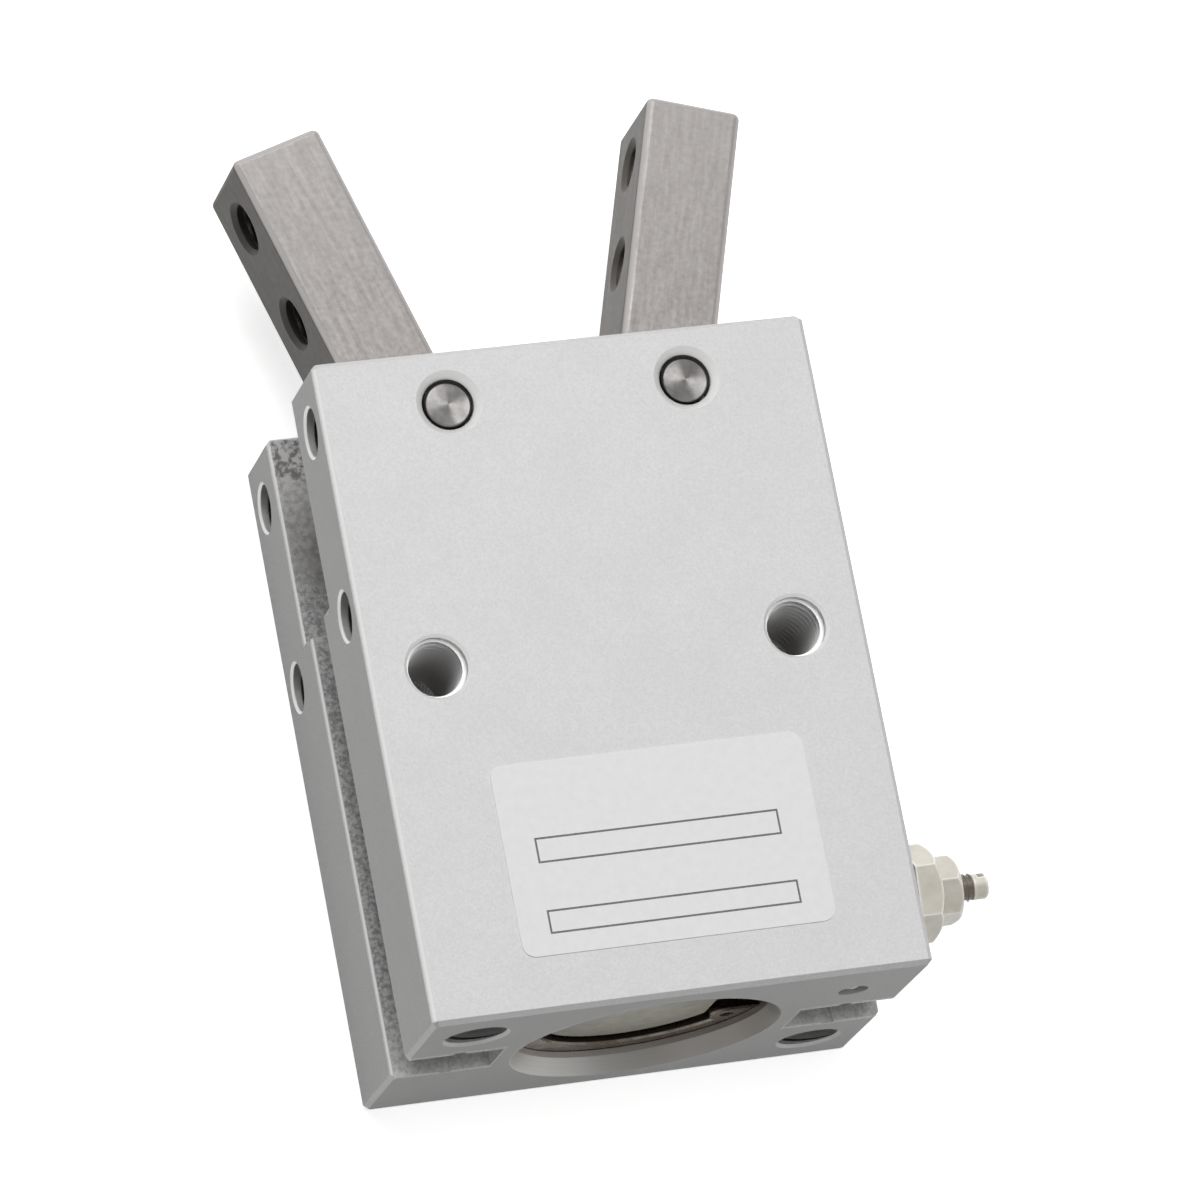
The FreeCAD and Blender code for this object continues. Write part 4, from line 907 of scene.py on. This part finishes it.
def paint_frame():
    """Give each piece of the frame its material and return the materials by piece."""
    axis = Vector((0, 0, 0))
    rubber = plain_finish("moulded_nitrile_rubber")
    nickel = nickel_plated_brass()
    finishes = {
        "body": blasted_anodised_aluminium(),
        # The last colour of each finger is painted shade for its sides, darker on the left one, whose sides
        # face away from the light
        "left_finger": ground_stainless_steel("ground_stainless_steel_left", -FINGER_TILT, "#5A5754"),
        "right_finger": ground_stainless_steel("ground_stainless_steel_right", FINGER_TILT, "#6C6864"),
        "end_cap": turned_metal("chromated_aluminium_cap", "Y", centre_of("end_cap"), 0.35,
                                "#88867A", "#9D9B8F", 0.6, 0.35),
        "retaining_ring": oiled_spring_steel(),
        "rod_bush": plain_finish("sintered_bronze"),
        "piston_rod": turned_metal("chromed_rod_steel", "Y", axis, 0.2, "#8E8C8A", "#A6A4A2", 0.85, 0.32),
        "piston": turned_metal("turned_aluminium", "Y", axis, 0.3, "#B5B5B4", "#CFCFCE", 0.8, 0.35),
        "piston_screw": plain_finish("black_oxide_steel"),
        "magnet_ring": plain_finish("bonded_ferrite"),
        "passage_plug": plain_finish("polished_ball_steel"),
    }
    for pin in ("left_pivot_pin", "right_pivot_pin", "center_pin"):
        finishes[pin] = turned_metal(f"turned_steel_{pin}", "Z", centre_of(pin), 0.22, "#757372", "#959391",
                                     0.85, 0.34, PIN_FACE)
    for seal in ("cap_o_ring", "rear_bumper", "rod_seal", "piston_seal", "front_bumper", "needle_o_ring"):
        finishes[seal] = rubber
    for fitting in ("valve_gasket", "valve_body", "lock_nut", "needle"):
        finishes[fitting] = nickel
    for name, material in finishes.items():
        for place in NODES[name].material_slots:
            place.material = material
    return finishes


# Studio, with its distances and sizes in metres

KEY_TOWARDS = Vector((-0.08, 0.52, 0.85))
KEY_DISTANCE = 1.2
KEY_SIZE = 0.75
KEY_LEVEL = 0.66
FILL_TOWARDS = Vector((0.1, -0.07, 0.99))
FILL_DISTANCE = 0.5
FILL_SIZE = 0.2
FILL_LEVEL = 0.34
AMBIENT_LEVEL = 0.07
DOME_HEIGHTS = (0.45, 0.85)
ZENITH_LEVEL = 0.4
FLOOR_GLOW = 0.75
FLOOR_SIZE = 3.0
FLOOR_SEEN = "#E0E0E0"
FLOOR_BOUNCE = "#767570"


def seen_directly(tree):
    """Share that is 1 for rays from the camera, from reflections and through glass."""
    rays = add(tree, "ShaderNodeLightPath").outputs
    return union(tree, rays["Is Camera Ray"], rays["Is Glossy Ray"], rays["Is Transmission Ray"])


def add_softbox(name, towards, distance, size, level):
    """Square area light aimed at the object that lights a facing surface to a share of its own colour."""
    data = bpy.data.lights.new(name, "AREA")
    data.size = size
    data.energy = level * (math.pi * distance) ** 2
    lamp = bpy.data.objects.new(name, data)
    direction = towards.normalized()
    lamp.location = CAMERA_TARGET + direction * distance
    lamp.rotation_euler = direction.to_track_quat("Z", "Y").to_euler()
    lamp.visible_camera = False
    scene.collection.objects.link(lamp)
    return lamp


def light_studio():
    """White room, dimmer overhead where metal mirrors it, with a softbox beyond the head and a fill."""
    world = bpy.data.worlds.new("white_studio")
    world.use_nodes = True
    scene.world = world
    tree = world.node_tree
    tree.nodes.clear()
    direction = add(tree, "ShaderNodeTexCoord").outputs["Generated"]
    height = add(tree, "ShaderNodeSeparateXYZ", {"Vector": direction}).outputs["Z"]
    dome = add(tree, "ShaderNodeMapRange", drawn_out(height, *DOME_HEIGHTS, 1.0, ZENITH_LEVEL),
               interpolation_type="SMOOTHSTEP")
    seen = seen_directly(tree)
    strength = add(tree, "ShaderNodeMapRange", drawn_out(seen, 0.0, 1.0, AMBIENT_LEVEL, dome))
    sky = add(tree, "ShaderNodeBackground", {"Color": linear("#FFFFFF"), "Strength": strength})
    add(tree, "ShaderNodeOutputWorld", {"Surface": sky})
    add_softbox("key_softbox", KEY_TOWARDS, KEY_DISTANCE, KEY_SIZE, KEY_LEVEL)
    fill = add_softbox("front_fill", FILL_TOWARDS, FILL_DISTANCE, FILL_SIZE, FILL_LEVEL)
    fill.visible_glossy = False


def lay_floor():
    """Pale floor under the object: white to the eye, greyer in the light that it throws back."""
    half = FLOOR_SIZE / 2
    corners = [(-half, -half, 0), (half, -half, 0), (half, half, 0), (-half, half, 0)]
    mesh = bpy.data.meshes.new("studio_floor")
    mesh.from_pydata(corners, [], [(0, 1, 2, 3)])
    mesh.transform(Matrix.Translation((0, 0, CAD_BOUNDS[0][2])))
    material = bpy.data.materials.new("pale_studio_floor")
    material.use_nodes = True
    tree = material.node_tree
    tree.nodes.clear()
    seen = seen_directly(tree)
    color = tone(tree, seen, 0.0, 1.0, FLOOR_BOUNCE, FLOOR_SEEN)
    matt = add(tree, "ShaderNodeBsdfDiffuse", {"Color": color})
    strength = add(tree, "ShaderNodeMapRange", drawn_out(seen, 0.0, 1.0, 0.0, FLOOR_GLOW))
    glow = add(tree, "ShaderNodeEmission", {"Strength": strength})
    both = add(tree, "ShaderNodeAddShader", {0: matt, 1: glow})
    add(tree, "ShaderNodeOutputMaterial", {"Surface": both})
    mesh.materials.append(material)
    floor = bpy.data.objects.new("studio_floor", mesh)
    scene.collection.objects.link(floor)


def aim_camera():
    """Camera at the place, angle and roll of the photograph's."""
    level = math.cos(CAMERA_ELEVATION)
    back = Vector((
        -math.sin(CAMERA_AZIMUTH) * level, -math.cos(CAMERA_AZIMUTH) * level, math.sin(CAMERA_ELEVATION),
    ))
    up = Vector((0, 0, 1))
    up = (up - up.dot(back) * back).normalized()
    right = up.cross(back)
    turn = Matrix.Rotation(CAMERA_ROLL, 3, back)
    data = bpy.data.cameras.new("photo_camera")
    data.lens = CAMERA_LENS
    data.sensor_width = CAMERA_SENSOR
    camera = bpy.data.objects.new("photo_camera", data)
    axes = Matrix((turn @ right, turn @ up, back)).transposed()
    camera.matrix_world = Matrix.Translation(CAMERA_TARGET + CAMERA_DISTANCE * back) @ axes.to_4x4()
    scene.collection.objects.link(camera)
    scene.camera = camera


scene.view_settings.view_transform = "Standard"
aim_camera()
light_studio()
lay_floor()
finishes = paint_frame()
threads = thread_tree()
make_threads(threads, finishes["body"])
make_needle(threads, finishes["needle"], plain_finish("thread_root_painted_shade"))
make_label(plain_finish("satin_label_film"), plain_finish("printed_label_ink"))
